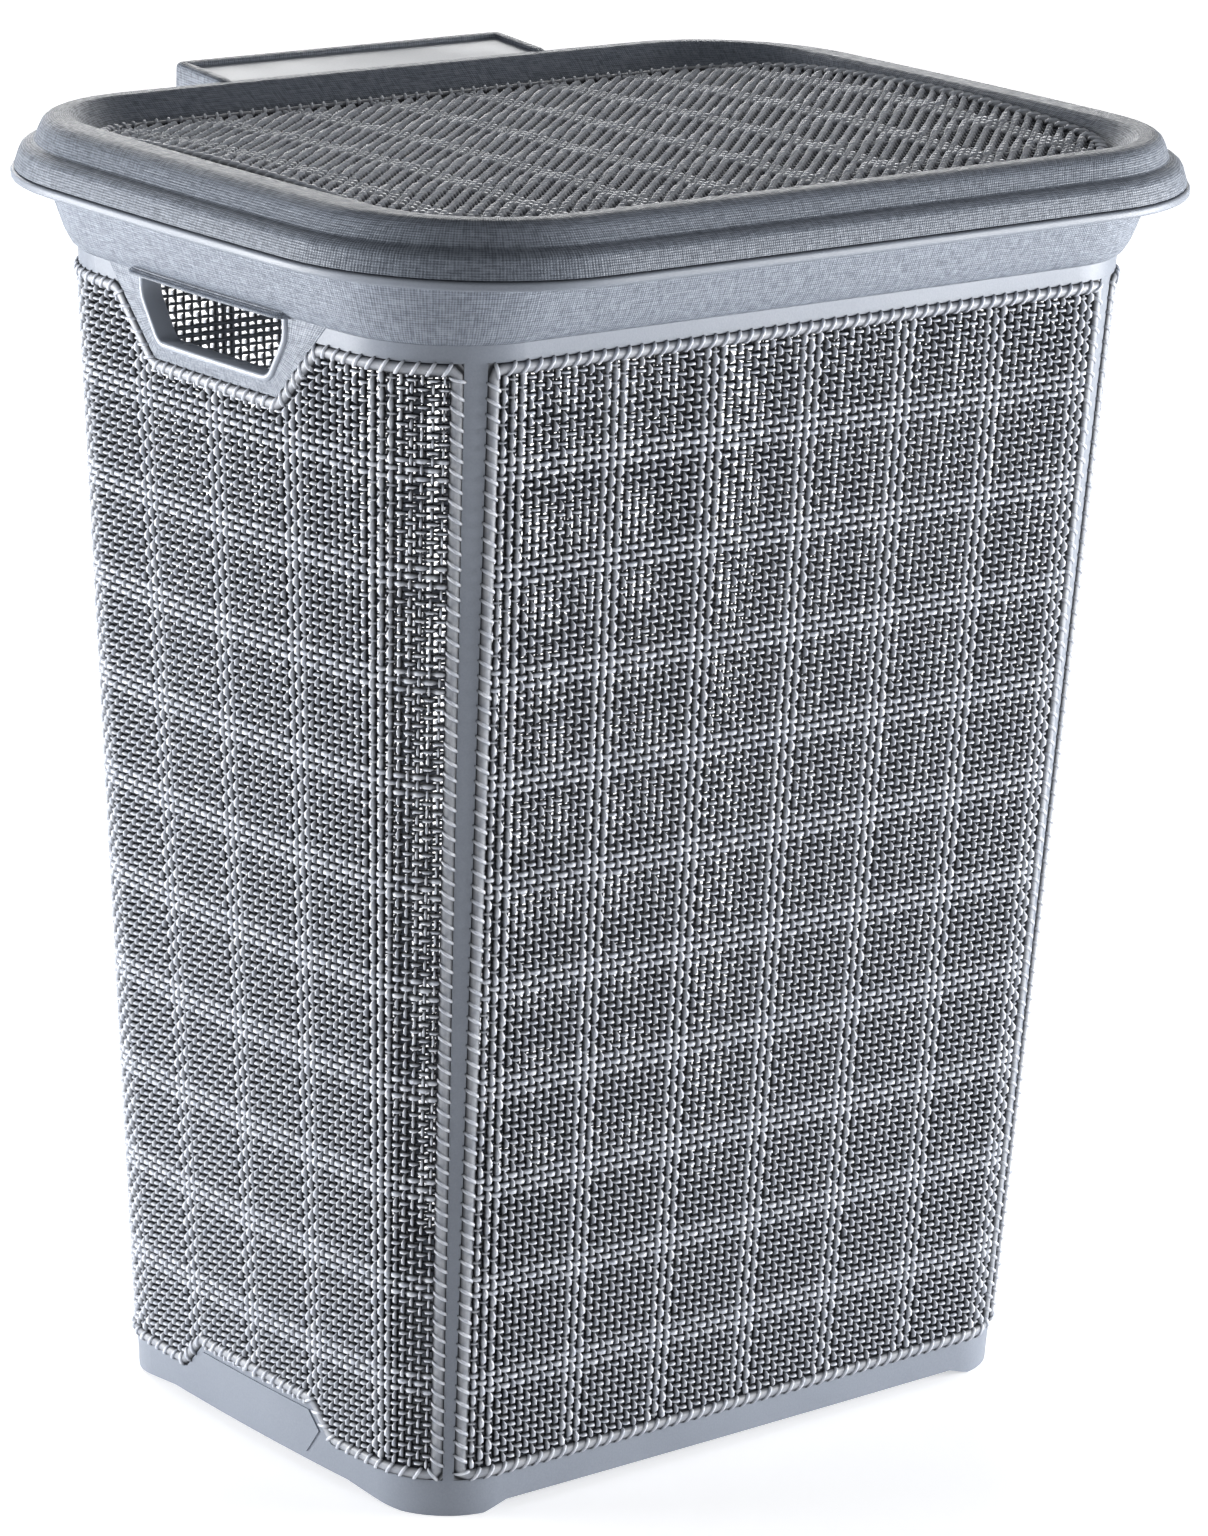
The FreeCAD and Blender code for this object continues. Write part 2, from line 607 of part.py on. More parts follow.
def hinge_bracket(x, flange_shape):
    low, high = x - KNUCKLE_WIDTH / 2.0, x + KNUCKLE_WIDTH / 2.0
    rear = HINGE_Y + KNUCKLE_R - BRACKET_REAR_INSET
    front = HINGE_Y - KNUCKLE_R
    tongue = box((low, FLANGE_HALF_Y - 2.0 * KNUCKLE_R, FLANGE_BOTTOM_Z), (high, rear, FLANGE_TOP_Z))
    leg = box((low, front, FLANGE_BOTTOM_Z), (high, rear, HINGE_Z))
    eye = pin_line(KNUCKLE_R, low, high)
    bore = pin_line(PIN_R, low - OVERCUT, high + OVERCUT)
    return fuse([tongue, leg, eye]).cut(bore).cut(flange_shape)


def hinge_pin(x):
    half = KNUCKLE_WIDTH / 2.0 + SIDE_CLEARANCE + LUG_THICKNESS + PIN_OVERHANG
    return pin_line(PIN_R, x - half, x + half)


# --- save ------------------------------------------------------------------------------------
def save(node, shape):
    moved = shape.copy()
    moved.translate(vec(0, SHIFT_Y, 0))
    moved.exportStep("parts/" + node + ".step")
    print(node, len(moved.Solids), round(moved.Volume), moved.isValid())


def save_tub():
    save("plinth", plinth())
    save("floor_plate", floor_plate())
    for name, shape in four_ways(foot()).items():
        save("foot_" + name, shape)
    for name, shape in corner_strips().items():
        save("corner_strip_" + name, shape)
    for name, shape in woven_panels().items():
        save("woven_panel_" + name, shape)
    for name, shape in panel_cords().items():
        save("panel_cord_" + name, shape)
    save("neck_band", neck_band())
    save("collar", collar())
    for side in ("left", "right"):
        save("base_plaque_" + side, plaque(side))
        save("handle_surround_" + side, handle_surround(side))
        save("handle_grip_" + side, handle_grip(side, collar_solid(0.0)))


def save_lid():
    lid_body = lid_outside(0.0, 0.0)
    save("lid_frame", lid_frame(plate_pocket()))
    save("lid_woven_panel", lid_panel())
    save("lid_cord", lid_cord())
    save("hinge_cover", hinge_cover(lid_body))
    save("hinge_plate", plate_space(PLATE_SUNK, PLATE_SUNK + PLATE_THICKNESS, COVER_FRONT_Y))
    for name, x in (("left", -KNUCKLE_X), ("right", KNUCKLE_X)):
        save("hinge_lugs_" + name, Part.makeCompound(knuckle_lugs(x, lid_body)))


def save_hinge():
    flange_shape = flange()
    save("flange", flange_shape)
    for name, x in (("left", -KNUCKLE_X), ("right", KNUCKLE_X)):
        save("hinge_bracket_" + name, hinge_bracket(x, flange_shape))
        save("hinge_pin_" + name, hinge_pin(x))


os.makedirs("parts", exist_ok=True)
save_tub()
save_hinge()
save_lid()
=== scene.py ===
import math

import bpy
import numpy as np
from mathutils import Matrix, Vector


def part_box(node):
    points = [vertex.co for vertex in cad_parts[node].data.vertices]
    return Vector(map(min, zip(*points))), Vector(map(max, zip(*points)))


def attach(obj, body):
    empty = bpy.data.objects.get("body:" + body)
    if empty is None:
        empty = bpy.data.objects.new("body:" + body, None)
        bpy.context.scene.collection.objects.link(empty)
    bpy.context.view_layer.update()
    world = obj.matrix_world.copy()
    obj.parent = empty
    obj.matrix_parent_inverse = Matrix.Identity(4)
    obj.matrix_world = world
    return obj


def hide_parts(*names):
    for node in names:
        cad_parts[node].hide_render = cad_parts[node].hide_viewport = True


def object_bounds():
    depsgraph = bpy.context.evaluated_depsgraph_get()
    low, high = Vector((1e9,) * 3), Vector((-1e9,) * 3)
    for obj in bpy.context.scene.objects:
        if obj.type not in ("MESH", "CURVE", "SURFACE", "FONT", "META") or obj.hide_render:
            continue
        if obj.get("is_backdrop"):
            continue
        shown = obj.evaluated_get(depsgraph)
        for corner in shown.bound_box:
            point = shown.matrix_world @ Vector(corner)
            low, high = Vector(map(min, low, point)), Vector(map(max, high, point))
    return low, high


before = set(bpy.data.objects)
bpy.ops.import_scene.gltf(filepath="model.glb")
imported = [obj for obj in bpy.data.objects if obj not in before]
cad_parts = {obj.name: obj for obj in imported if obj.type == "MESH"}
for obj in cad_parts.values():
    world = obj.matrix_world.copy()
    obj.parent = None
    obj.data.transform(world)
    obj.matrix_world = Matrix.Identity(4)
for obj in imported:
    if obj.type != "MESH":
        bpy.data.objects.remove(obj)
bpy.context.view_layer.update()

bpy.ops.object.select_all(action="DESELECT")


# --- Base: plinth, floor, feet and corner strips ------------------------------------------------
# The smooth parts of the tub: the plinth ring on its four corner feet, the floor inside it, and
# the flat strips between the woven panels. Injection-moulded polypropylene from a spark-eroded
# mould, so it is satin, with a very fine even grain. The sizes of these parts come with the frame.


def linear(hex_colour):
    """An sRGB hex colour as linear RGBA."""
    channels = [int(hex_colour[i:i + 2], 16) / 255 for i in (1, 3, 5)]
    return [c / 12.92 if c <= 0.04045 else ((c + 0.055) / 1.055) ** 2.4 for c in channels] + [1.0]


def add_node(tree, kind, inputs, **settings):
    """Adds a node; each input is a value, or another node's output to link."""
    node = tree.nodes.new(kind)
    for name, value in settings.items():
        setattr(node, name, value)
    for key, value in inputs.items():
        if isinstance(value, bpy.types.NodeSocket):
            tree.links.new(value, node.inputs[key])
        else:
            node.inputs[key].default_value = value
    return node


def start_material(name):
    """An empty material, its node tree and its output node."""
    material = bpy.data.materials.new(name)
    material.use_nodes = True
    tree = material.node_tree
    tree.nodes.clear()
    return material, tree, add_node(tree, "ShaderNodeOutputMaterial", {})


def shade(tree, dark, light, share):
    """Colour that runs from one hex colour to another by a share."""
    mix = add_node(tree, "ShaderNodeMix", {0: share, 6: linear(dark), 7: linear(light)},
                   data_type="RGBA")
    return mix.outputs[2]


def wear(piece, material):
    """Gives a finished piece or a CAD node its one material."""
    piece.data.materials.clear()
    piece.data.materials.append(material)


# Moulded polypropylene, IOR 1.49, satin. Real spark-erosion grain is about 0.1 mm; it is drawn
# at 0.9 mm so that it shows. A slow mottle of flow marks, about 60 mm long, changes the gloss.
satin_polypropylene, tree, output = start_material("polypropylene_satin_moulded")
place = add_node(tree, "ShaderNodeTexCoord", {}).outputs["Object"]
grain = add_node(tree, "ShaderNodeTexNoise",
                 {"Vector": place, "Scale": 1100.0, "Detail": 2.0}).outputs["Fac"]
flow = add_node(tree, "ShaderNodeTexNoise",
                {"Vector": place, "Scale": 16.0, "Detail": 3.0}).outputs["Fac"]
tone = add_node(tree, "ShaderNodeMath", {0: flow, 1: grain}, operation="ADD").outputs[0]
share = add_node(tree, "ShaderNodeMapRange",
                 {"Value": tone, "From Min": 0.7, "From Max": 1.3}).outputs[0]
gloss = add_node(tree, "ShaderNodeMapRange", {"Value": flow, "From Min": 0.3, "From Max": 0.7,
                                              "To Min": 0.38, "To Max": 0.48}).outputs[0]
bump = add_node(tree, "ShaderNodeBump", {"Height": grain, "Strength": 0.16, "Distance": 0.0003})
shader = add_node(tree, "ShaderNodeBsdfPrincipled",
                  {"Base Color": shade(tree, "#868d99", "#8f96a2", share), "Roughness": gloss,
                   "IOR": 1.49, "Normal": bump.outputs[0]})
tree.links.new(shader.outputs[0], output.inputs[0])

for name in ("plinth", "floor_plate", "neck_band",
             "foot_front_left", "foot_front_right", "foot_rear_left", "foot_rear_right",
             "corner_strip_front_left", "corner_strip_front_right",
             "corner_strip_rear_left", "corner_strip_rear_right",
             "base_plaque_left", "base_plaque_right"):
    wear(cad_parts[name], satin_polypropylene)


# --- Woven panels -------------------------------------------------------------------------------
# The four sides of the tub are open plain weave moulded in one shot with it: round-backed strands
# pass over and under each other, and groups of three thick ones make the check. Polypropylene,
# the strands flat on the inside where the mould's core was.

PANEL_LOW_Z, PANEL_HIGH_Z = 17.0, 520.0
CORD_WIDTH = 5.6
INNER_FACE = -2.4

# Strand widths in mm. Heights over the wall at a crossing: ((fine over fine, fine over thick),
# (thick over fine, thick over thick)), for the strand that is over and the one that is under.
FINE_UPRIGHT, THICK_UPRIGHT = 1.15, 2.4
FINE_CROSS, THICK_CROSS = 1.2, 2.35
UPRIGHT_OVER, UPRIGHT_UNDER = ((1.3, 1.3), (1.3, 1.3)), ((-1.6, -1.6), (-0.3, -0.5))
CROSS_OVER, CROSS_UNDER = ((1.3, 0.3), (1.3, 1.1)), ((-1.6, -1.6), (-0.5, -0.9))
UNDER_WIDTH = 0.76
CROSS_SUNK = 0.1
STRAND_END = 2.2
SAMPLE_AT = (0.22, 0.78)

ROWS = 129
COLUMNS = {"front": 75, "rear": 75, "left": 61, "right": 61}
CHECK, THICK_IN_CHECK = 12, 3
FIRST_THICK_ROW, FIRST_THICK_COLUMN = 9, 5

# Half width and height of the two ends of each notch in the short sides' panels.
HANDLE_WIDE, HANDLE_NARROW = (71.5, PANEL_HIGH_Z), (44.5, 491.4)
PLAQUE_WIDE, PLAQUE_NARROW = (55.2, PANEL_LOW_Z), (41.2, 32.2)
UNDER_HANDLE = (44.0, 489.0)
NOTCH_MARGIN = 2.0

flange_low, flange_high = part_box("flange")
TUB_Y = 500.0 * (flange_low.y + flange_high.y)


def outline(half_x, half_y, corner_r, bow_x, bow_y):
    """A rectangle with bowed sides and round corners: half sizes and the radii of its arcs."""
    return (half_x, half_y, corner_r, half_y ** 2 / (2 * bow_x), half_x ** 2 / (2 * bow_y))


def grow(shape, by):
    """The outline moved outwards by mm."""
    return tuple(value + by for value in shape)


def blend(first, second, share):
    """The outline or point a share of the way from one to another."""
    return tuple(a + (b - a) * share for a, b in zip(first, second))


def corner_centre(shape):
    """Centre of the corner arc that touches both bowed sides."""
    half_x, half_y, corner_r, side_x, side_y = shape
    ax, by = half_x - side_x, half_y - side_y
    ra, rb = side_x - corner_r, side_y - corner_r
    gap = np.hypot(ax, by)
    along = (ra ** 2 - rb ** 2 + gap ** 2) / (2 * gap)
    across = np.sqrt(ra ** 2 - along ** 2)
    ux, uy = -ax / gap, by / gap
    first = ax + ux * along - uy * across, uy * along + ux * across
    second = ax + ux * along + uy * across, uy * along - ux * across
    pick = first[0] > second[0]
    return np.where(pick, first[0], second[0]), np.where(pick, first[1], second[1])


TOP_OUTLINE = outline(212.0, 142.5, 54.0, 8.0, 2.0)
BOTTOM_OUTLINE = outline(178.0, 123.5, 38.0, 4.7, 1.0)
STRIP_LOW, STRIP_HIGH = (56.0, 4.8), (66.0, 10.0)


def tub_outline(z):
    """Outline of the tapered wall at a height."""
    return blend(BOTTOM_OUTLINE, TOP_OUTLINE, (z - PANEL_LOW_Z) / (PANEL_HIGH_Z - PANEL_LOW_Z))


def side_arcs(side, z):
    """Radius of a side's bow, its reach, and the corner arc's centre seen from that side."""
    half_x, half_y, corner_r, side_x, side_y = tub_outline(z)
    cx, cy = corner_centre((half_x, half_y, corner_r, side_x, side_y))
    if side in ("front", "rear"):
        return side_y, half_y, cx, cy, corner_r
    return side_x, half_x, cy, cx, corner_r


def on_wall(side, across, z, out):
    """Points on one side of the tub: mm across it to the right, height, and mm out of the wall."""
    across, z, out = np.broadcast_arrays(across, z, out)
    radius, half, near, far, corner_r = side_arcs(side, z)
    join = np.arctan2(near, far - (half - radius))
    flat = join * radius
    reach = np.abs(across)
    on_flat = reach <= flat
    turn = np.where(on_flat, reach / radius, join + (reach - flat) / corner_r)
    r = np.where(on_flat, radius, corner_r) + out
    along = (np.where(on_flat, 0.0, near) + r * np.sin(turn)) * np.sign(across)
    away = np.where(on_flat, half - radius, far) + r * np.cos(turn)
    x, y = {"front": (along, -away), "rear": (-along, away),
            "left": (-away, -along), "right": (away, along)}[side]
    return np.stack([x, y, z], axis=-1)


def strip_edge(side, z):
    """Mm from a side's middle, along the wall, to the edge of the corner strip."""
    way = 1 if side in ("front", "rear") else -1
    ends = []
    for shape, (angle, width) in ((BOTTOM_OUTLINE, STRIP_LOW), (TOP_OUTLINE, STRIP_HIGH)):
        a = math.radians(angle) + way * width / 2 / shape[2]
        ends.append((shape[2] * math.cos(a), shape[2] * math.sin(a)))
    share = (z - PANEL_LOW_Z) / (PANEL_HIGH_Z - PANEL_LOW_Z)
    ex, ey = blend(ends[0], ends[1], share)
    polar = np.arctan2(ey, ex)
    radius, half, near, far, corner_r = side_arcs(side, z)
    join = np.arctan2(near, far - (half - radius))
    turn = math.pi / 2 - polar if way == 1 else polar
    return join * radius + (turn - join) * corner_r


def moulded_sheet(name, points, remove=None, relief=None):
    """A grid whose points are put at their places (mm, tub frame); rows and columns that meet are
    merged, and the faces marked in remove are taken out. Its UV map is in mm along the surface,
    and relief, if given, is kept at each point: its height in mm, shifted where a part is painted
    lighter or darker, which the strands' material reads to paint shade."""
    rows, columns = points.shape[:2]
    bpy.ops.object.select_all(action="DESELECT")
    bpy.ops.mesh.primitive_grid_add(x_subdivisions=columns - 1, y_subdivisions=rows - 1, size=1.0)
    piece = bpy.context.object
    piece.name = piece.data.name = name
    mesh = piece.data
    u = np.cumsum(np.linalg.norm(np.diff(points, axis=1, prepend=points[:, :1]), axis=2), axis=1)
    v = np.cumsum(np.linalg.norm(np.diff(points, axis=0, prepend=points[:1]), axis=2), axis=0)
    u, v = np.broadcast_arrays(u.mean(axis=0)[None, :], v.mean(axis=1)[:, None])
    flat_uv = np.stack([u, v], axis=-1).reshape(-1, 2)
    mesh.vertices.foreach_set("co", ((points + [0.0, TUB_Y, 0.0]) * 0.001).ravel())
    corner = np.empty(len(mesh.loops), int)
    mesh.loops.foreach_get("vertex_index", corner)
    mesh.uv_layers[0].data.foreach_set("uv", flat_uv[corner].ravel())
    if relief is not None:
        mesh.attributes.new("relief", "FLOAT", "POINT").data.foreach_set("value", relief.ravel())
    marked = np.zeros((rows - 1, columns - 1), bool) if remove is None else remove
    bpy.context.tool_settings.mesh_select_mode = (False, False, True)
    bpy.ops.object.mode_set(mode="EDIT")
    bpy.ops.mesh.select_all(action="DESELECT")
    bpy.ops.object.mode_set(mode="OBJECT")
    mesh.polygons.foreach_set("select", marked.ravel())
    bpy.ops.object.mode_set(mode="EDIT")
    if marked.any():
        bpy.ops.mesh.delete(type="FACE")
    bpy.ops.mesh.select_all(action="SELECT")
    bpy.ops.mesh.remove_doubles(threshold=2e-6)
    bpy.ops.mesh.normals_make_consistent(inside=False)
    bpy.ops.object.mode_set(mode="OBJECT")
    return piece


def strands(name, centre, width, height, place, outside, painted_light=0.0):
    """Closed strands side by side: for each strand and sample, its middle, width and height."""
    count, samples = height.shape
    ends = np.zeros_like(height)
    ends[:, 0] = ends[:, -1] = 1.0
    shape = ((-0.5, 0), (-0.3, 1), (0.3, 1), (0.5, 0), (-0.5, 0))
    offset, out = [], []
    for share, top in shape:
        offset.append(share * width * (1 - 0.9 * ends))
        free = np.where(top, height, INNER_FACE)
        out.append(free * (1 - ends) + ends * (INNER_FACE + 0.6 * top))
    offset = np.stack(offset, axis=1).reshape(-1, samples)
    out = np.stack(out, axis=1).reshape(-1, samples)
    points, hidden = place(np.repeat(centre, len(shape), axis=0), offset, out, outside)
    points, hidden = points.transpose(1, 0, 2), hidden.T
    gap = np.zeros((samples - 1, count * len(shape) - 1), bool)
    gap[:, len(shape) - 1::len(shape)] = True
    gone = hidden[1:, 1:] & hidden[:-1, 1:] & hidden[1:, :-1] & hidden[:-1, :-1]
    # The relief paints the strands' shade in their material; the mm added to it paint a whole set
    # lighter, as painted light.
    relief = np.where(out.T > INNER_FACE + 0.02, out.T + painted_light, INNER_FACE)
    piece = moulded_sheet(name, points, gap | gone, relief)
    bpy.ops.object.shade_smooth()
    return piece


def float_heights(strand_thick, other_thick, first_over, over_levels, under_levels):
    """Height over the wall and width share at two samples a crossing, for strands x crossings."""
    strand, cross = np.meshgrid(np.arange(len(strand_thick)), np.arange(len(other_thick)),
                                indexing="ij")
    over = (strand + cross) % 2 == first_over
    kind = strand_thick[strand].astype(int), other_thick[cross].astype(int)
    height = np.where(over, np.array(over_levels)[kind], np.array(under_levels)[kind])
    height = np.repeat(height, 2, axis=1)
    width = np.repeat(np.where(over, 1.0, UNDER_WIDTH), 2, axis=1)
    pad = ((0, 0), (1, 1))
    return np.pad(height, pad, mode="edge"), np.pad(width, pad, mode="edge")


def sample_places(count):
    """Places of the samples along a strand, in crossings, with its two ends."""
    steps = np.arange(count)[:, None] + np.array(SAMPLE_AT)
    return np.concatenate([[0.0], steps.ravel(), [float(count)]])


def thick_strands(count, first, end):
    """True for the strands of the thick groups, which start at first and stop before end."""
    strand = np.arange(count)
    return (strand >= first) & (strand < end) & ((strand - first) % CHECK < THICK_IN_CHECK)


def in_notch(reach, z, wide, narrow):
    """True in a notch that narrows from one (half width, height) to another, and at its edge."""
    slope = (wide[0] - narrow[0]) / (wide[1] - narrow[1])
    inside = (z - narrow[1]) * (wide[1] - narrow[1]) > 0
    return inside & (reach < narrow[0] + (z - narrow[1]) * slope + NOTCH_MARGIN)


# Moulded polypropylene strands: glossier than the smooth parts, because the mould's small
# channels were polished. Deep parts, which the mould's tips made, are rougher, and are painted
# darker as painted shade in the recesses; the flat inside is painted a darker grey, painted shade
# inside the tub. The strands' tops are painted much lighter than the same plastic elsewhere, a
# painted highlight. The colour varies from float to float, about every 4 mm.
strand_polypropylene, tree, output = start_material("polypropylene_woven_strands")
place = add_node(tree, "ShaderNodeTexCoord", {}).outputs["Object"]
depth = add_node(tree, "ShaderNodeAttribute", {}, attribute_name="relief").outputs["Fac"]
proud = add_node(tree, "ShaderNodeMapRange",
                 {"Value": depth, "From Min": -1.2, "From Max": 1.3}).outputs[0]
tone = add_node(tree, "ShaderNodeTexNoise",
                {"Vector": place, "Scale": 260.0, "Detail": 2.0}).outputs["Fac"]
grain = add_node(tree, "ShaderNodeTexNoise",
                 {"Vector": place, "Scale": 1400.0, "Detail": 1.0}).outputs["Fac"]
share = add_node(tree, "ShaderNodeMapRange",
                 {"Value": tone, "From Min": 0.35, "From Max": 0.65}).outputs[0]
# Painted highlight: the strands' colour, with its random tone, is painted much lighter than the
# same plastic elsewhere.
tone_painted_light = shade(tree, "#cbd1dd", "#e8ecf4", share)
# Painted shade: the strands are painted from near black in their deep parts to their own colour on
# top, by their relief.
painted_recess_shade = add_node(tree, "ShaderNodeMix", {0: proud, 6: linear("#171a21"), 7: tone_painted_light},
                data_type="RGBA")
# Painted shade: the flat inside of the strands is painted a darker grey than the plastic.
inside = add_node(tree, "ShaderNodeMapRange", {"Value": depth, "From Min": INNER_FACE + 0.02,
                                               "From Max": INNER_FACE + 0.1,
                                               "To Min": 1.0, "To Max": 0.0}).outputs[0]
colour = add_node(tree, "ShaderNodeMix",
                  {0: inside, 6: painted_recess_shade.outputs[2], 7: linear("#4d535e")}, data_type="RGBA")
gloss = add_node(tree, "ShaderNodeMapRange",
                 {"Value": proud, "To Min": 0.6, "To Max": 0.26}).outputs[0]
bump = add_node(tree, "ShaderNodeBump", {"Height": grain, "Strength": 0.15, "Distance": 0.0003})
shader = add_node(tree, "ShaderNodeBsdfPrincipled",
                  {"Base Color": colour.outputs[2], "Roughness": gloss, "IOR": 1.49,
                   "Normal": bump.outputs[0]})
tree.links.new(shader.outputs[0], output.inputs[0])

rows = np.arange(ROWS)
thick_rows = thick_strands(ROWS, FIRST_THICK_ROW, ROWS)
low_z, high_z = PANEL_LOW_Z + CORD_WIDTH, PANEL_HIGH_Z - CORD_WIDTH
row_pitch = (high_z - low_z) / ROWS

for side, count in COLUMNS.items():
    columns = np.arange(count)
    first = 0 if side in ("front", "rear") else FIRST_THICK_COLUMN
    thick_columns = thick_strands(count, first, count - first)

    def hidden_on(across, z, side=side):
        """True where a notch, or the cord under the handle's notch, takes the place of strands."""
        if side in ("front", "rear"):
            return np.zeros(across.shape, bool)
        reach = np.abs(across)
        under_handle = (z > UNDER_HANDLE[1]) & (reach < UNDER_HANDLE[0])
        return (in_notch(reach, z, HANDLE_WIDE, HANDLE_NARROW) | under_handle
                | in_notch(reach, z, PLAQUE_WIDE, PLAQUE_NARROW))

    def along_wall(middle, offset, out, samples, side=side):
        """Places of upright strands: middle is their share of the way to the panel's edge."""
        z = low_z + samples * row_pitch + np.where(samples == 0, -STRAND_END, 0)
        z = z + np.where(samples == ROWS, STRAND_END, 0)
        across = middle * (strip_edge(side, z) - CORD_WIDTH) + offset
        z = np.broadcast_to(z, across.shape)
        return on_wall(side, across, z, out), hidden_on(across, z)

    def across_wall(middle, offset, out, samples, side=side, count=count):
        """Places of cross strands: middle is their height."""
        z = middle + offset
        share = samples / count * 2 - 1
        half = strip_edge(side, z) - CORD_WIDTH
        across = share * half + np.sign(share) * (np.abs(share) == 1.0) * STRAND_END
        return on_wall(side, across, z, out - CROSS_SUNK), hidden_on(across, z)

    height, share = float_heights(thick_columns, thick_rows, 0, UPRIGHT_OVER, UPRIGHT_UNDER)
    wide = np.where(thick_columns, THICK_UPRIGHT, FINE_UPRIGHT)[:, None] * share
    middle = ((columns + 0.5) / count * 2 - 1)[:, None]
    uprights = strands("weave_uprights_" + side, middle, wide, height, along_wall,
                       sample_places(ROWS))

    height, share = float_heights(thick_rows, thick_columns, 1, CROSS_OVER, CROSS_UNDER)
    wide = np.where(thick_rows, THICK_CROSS, FINE_CROSS)[:, None] * share
    middle = (low_z + (rows + 0.5) * row_pitch)[:, None]
    crossings = strands("weave_cross_strands_" + side, middle, wide, height, across_wall,
                        sample_places(count))

    for piece in (uprights, crossings):
        wear(piece, strand_polypropylene)
        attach(piece, "basket")
        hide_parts("woven_panel_" + side)


# --- Bound edges of the panels ------------------------------------------------------------------
# Each woven panel ends in a moulded cord, flattened, with thin slanted stitches wrapped over it
# every few millimetres, as on a hand-bound edge. It is one piece of polypropylene with the tub.

STITCH_PITCH = 6.6
STITCH_R = 0.95
STITCH_LEAN = 0.62
PATH_RADIUS, PATH_STEP = 3.5, 2.9

# Mm outwards and mm out of the wall; the last two points are a flange hidden in the strip.
CORD_SECTION = ((-2.8, -2.3), (-2.8, -0.5), (-2.3, 0.6), (-1.3, 1.4), (0.0, 1.7), (1.3, 1.4),
                (2.3, 0.6), (2.8, -0.3), (4.9, -0.3), (4.9, -2.3))
# Mm taken off the relief of the cord and of its stitches paint them darker, most at their sides, as
# painted shade; the hidden flange keeps a relief that paints it mid grey.
FLANGE_FROM, FLANGE_RELIEF, CORD_PAINTED_SHADE = 4.0, -0.15, 1.5

# Mm outwards, mm out of the wall and share of the radius along one stitch.
STITCH_LINE = ((-3.1, -0.9, 0.5), (-2.5, 0.95, 1.0), (-1.2, 1.75, 1.0), (1.0, 1.85, 1.0),
               (2.4, 1.1, 1.0), (3.1, 0.2, 0.8), (3.5, -0.3, 0.3))
STITCH_PAINTED_SHADE = 1.0


def inset_path(corners, by):
    """A closed path moved by mm to its right-hand side, its corners kept sharp."""
    corners = np.array(corners, float)
    before = corners - np.roll(corners, 1, axis=0)
    before /= np.linalg.norm(before, axis=1)[:, None]
    after = np.roll(before, -1, axis=0)
    side = np.stack([before[:, 1], -before[:, 0]], axis=1)
    other = np.stack([after[:, 1], -after[:, 0]], axis=1)
    mitre = side + other
    return corners + by * mitre * (2 / (mitre * mitre).sum(axis=1))[:, None]


def round_path(corners, radius, step, closed=True):
    """The path's points at even steps, with each corner rounded by a short curve."""
    corners = np.array(corners, float)
    count = len(corners)
    run = []
    for i, corner in enumerate(corners):
        if not closed and i in (0, count - 1):
            run.append(corner)
            continue
        back = corners[i - 1] - corner
        ahead = corners[(i + 1) % count] - corner
        cut = [min(radius, 0.45 * np.linalg.norm(d)) * d / np.linalg.norm(d)
               for d in (back, ahead)]
        for t in np.linspace(0, 1, 5):
            run.append(corner + (1 - t) ** 2 * cut[0] + t ** 2 * cut[1])
    run = np.array(run + run[:1] if closed else run)
    length = np.concatenate([[0], np.cumsum(np.linalg.norm(np.diff(run, axis=0), axis=1))])
    even = np.linspace(0, length[-1], max(2, round(length[-1] / step)) + 1)
    return np.stack([np.interp(even, length, run[:, k]) for k in range(run.shape[1])], axis=1)


def path_sides(path, closed=True):
    """Unit directions along a flat path and to its left."""
    if closed:
        step = np.roll(path[:-1], -1, axis=0) - np.roll(path[:-1], 1, axis=0)
        step = np.concatenate([step, step[:1]])
    else:
        step = np.gradient(path, axis=0)
    ahead = step / np.linalg.norm(step, axis=1)[:, None]
    return ahead, np.stack([-ahead[:, 1], ahead[:, 0]], axis=1)


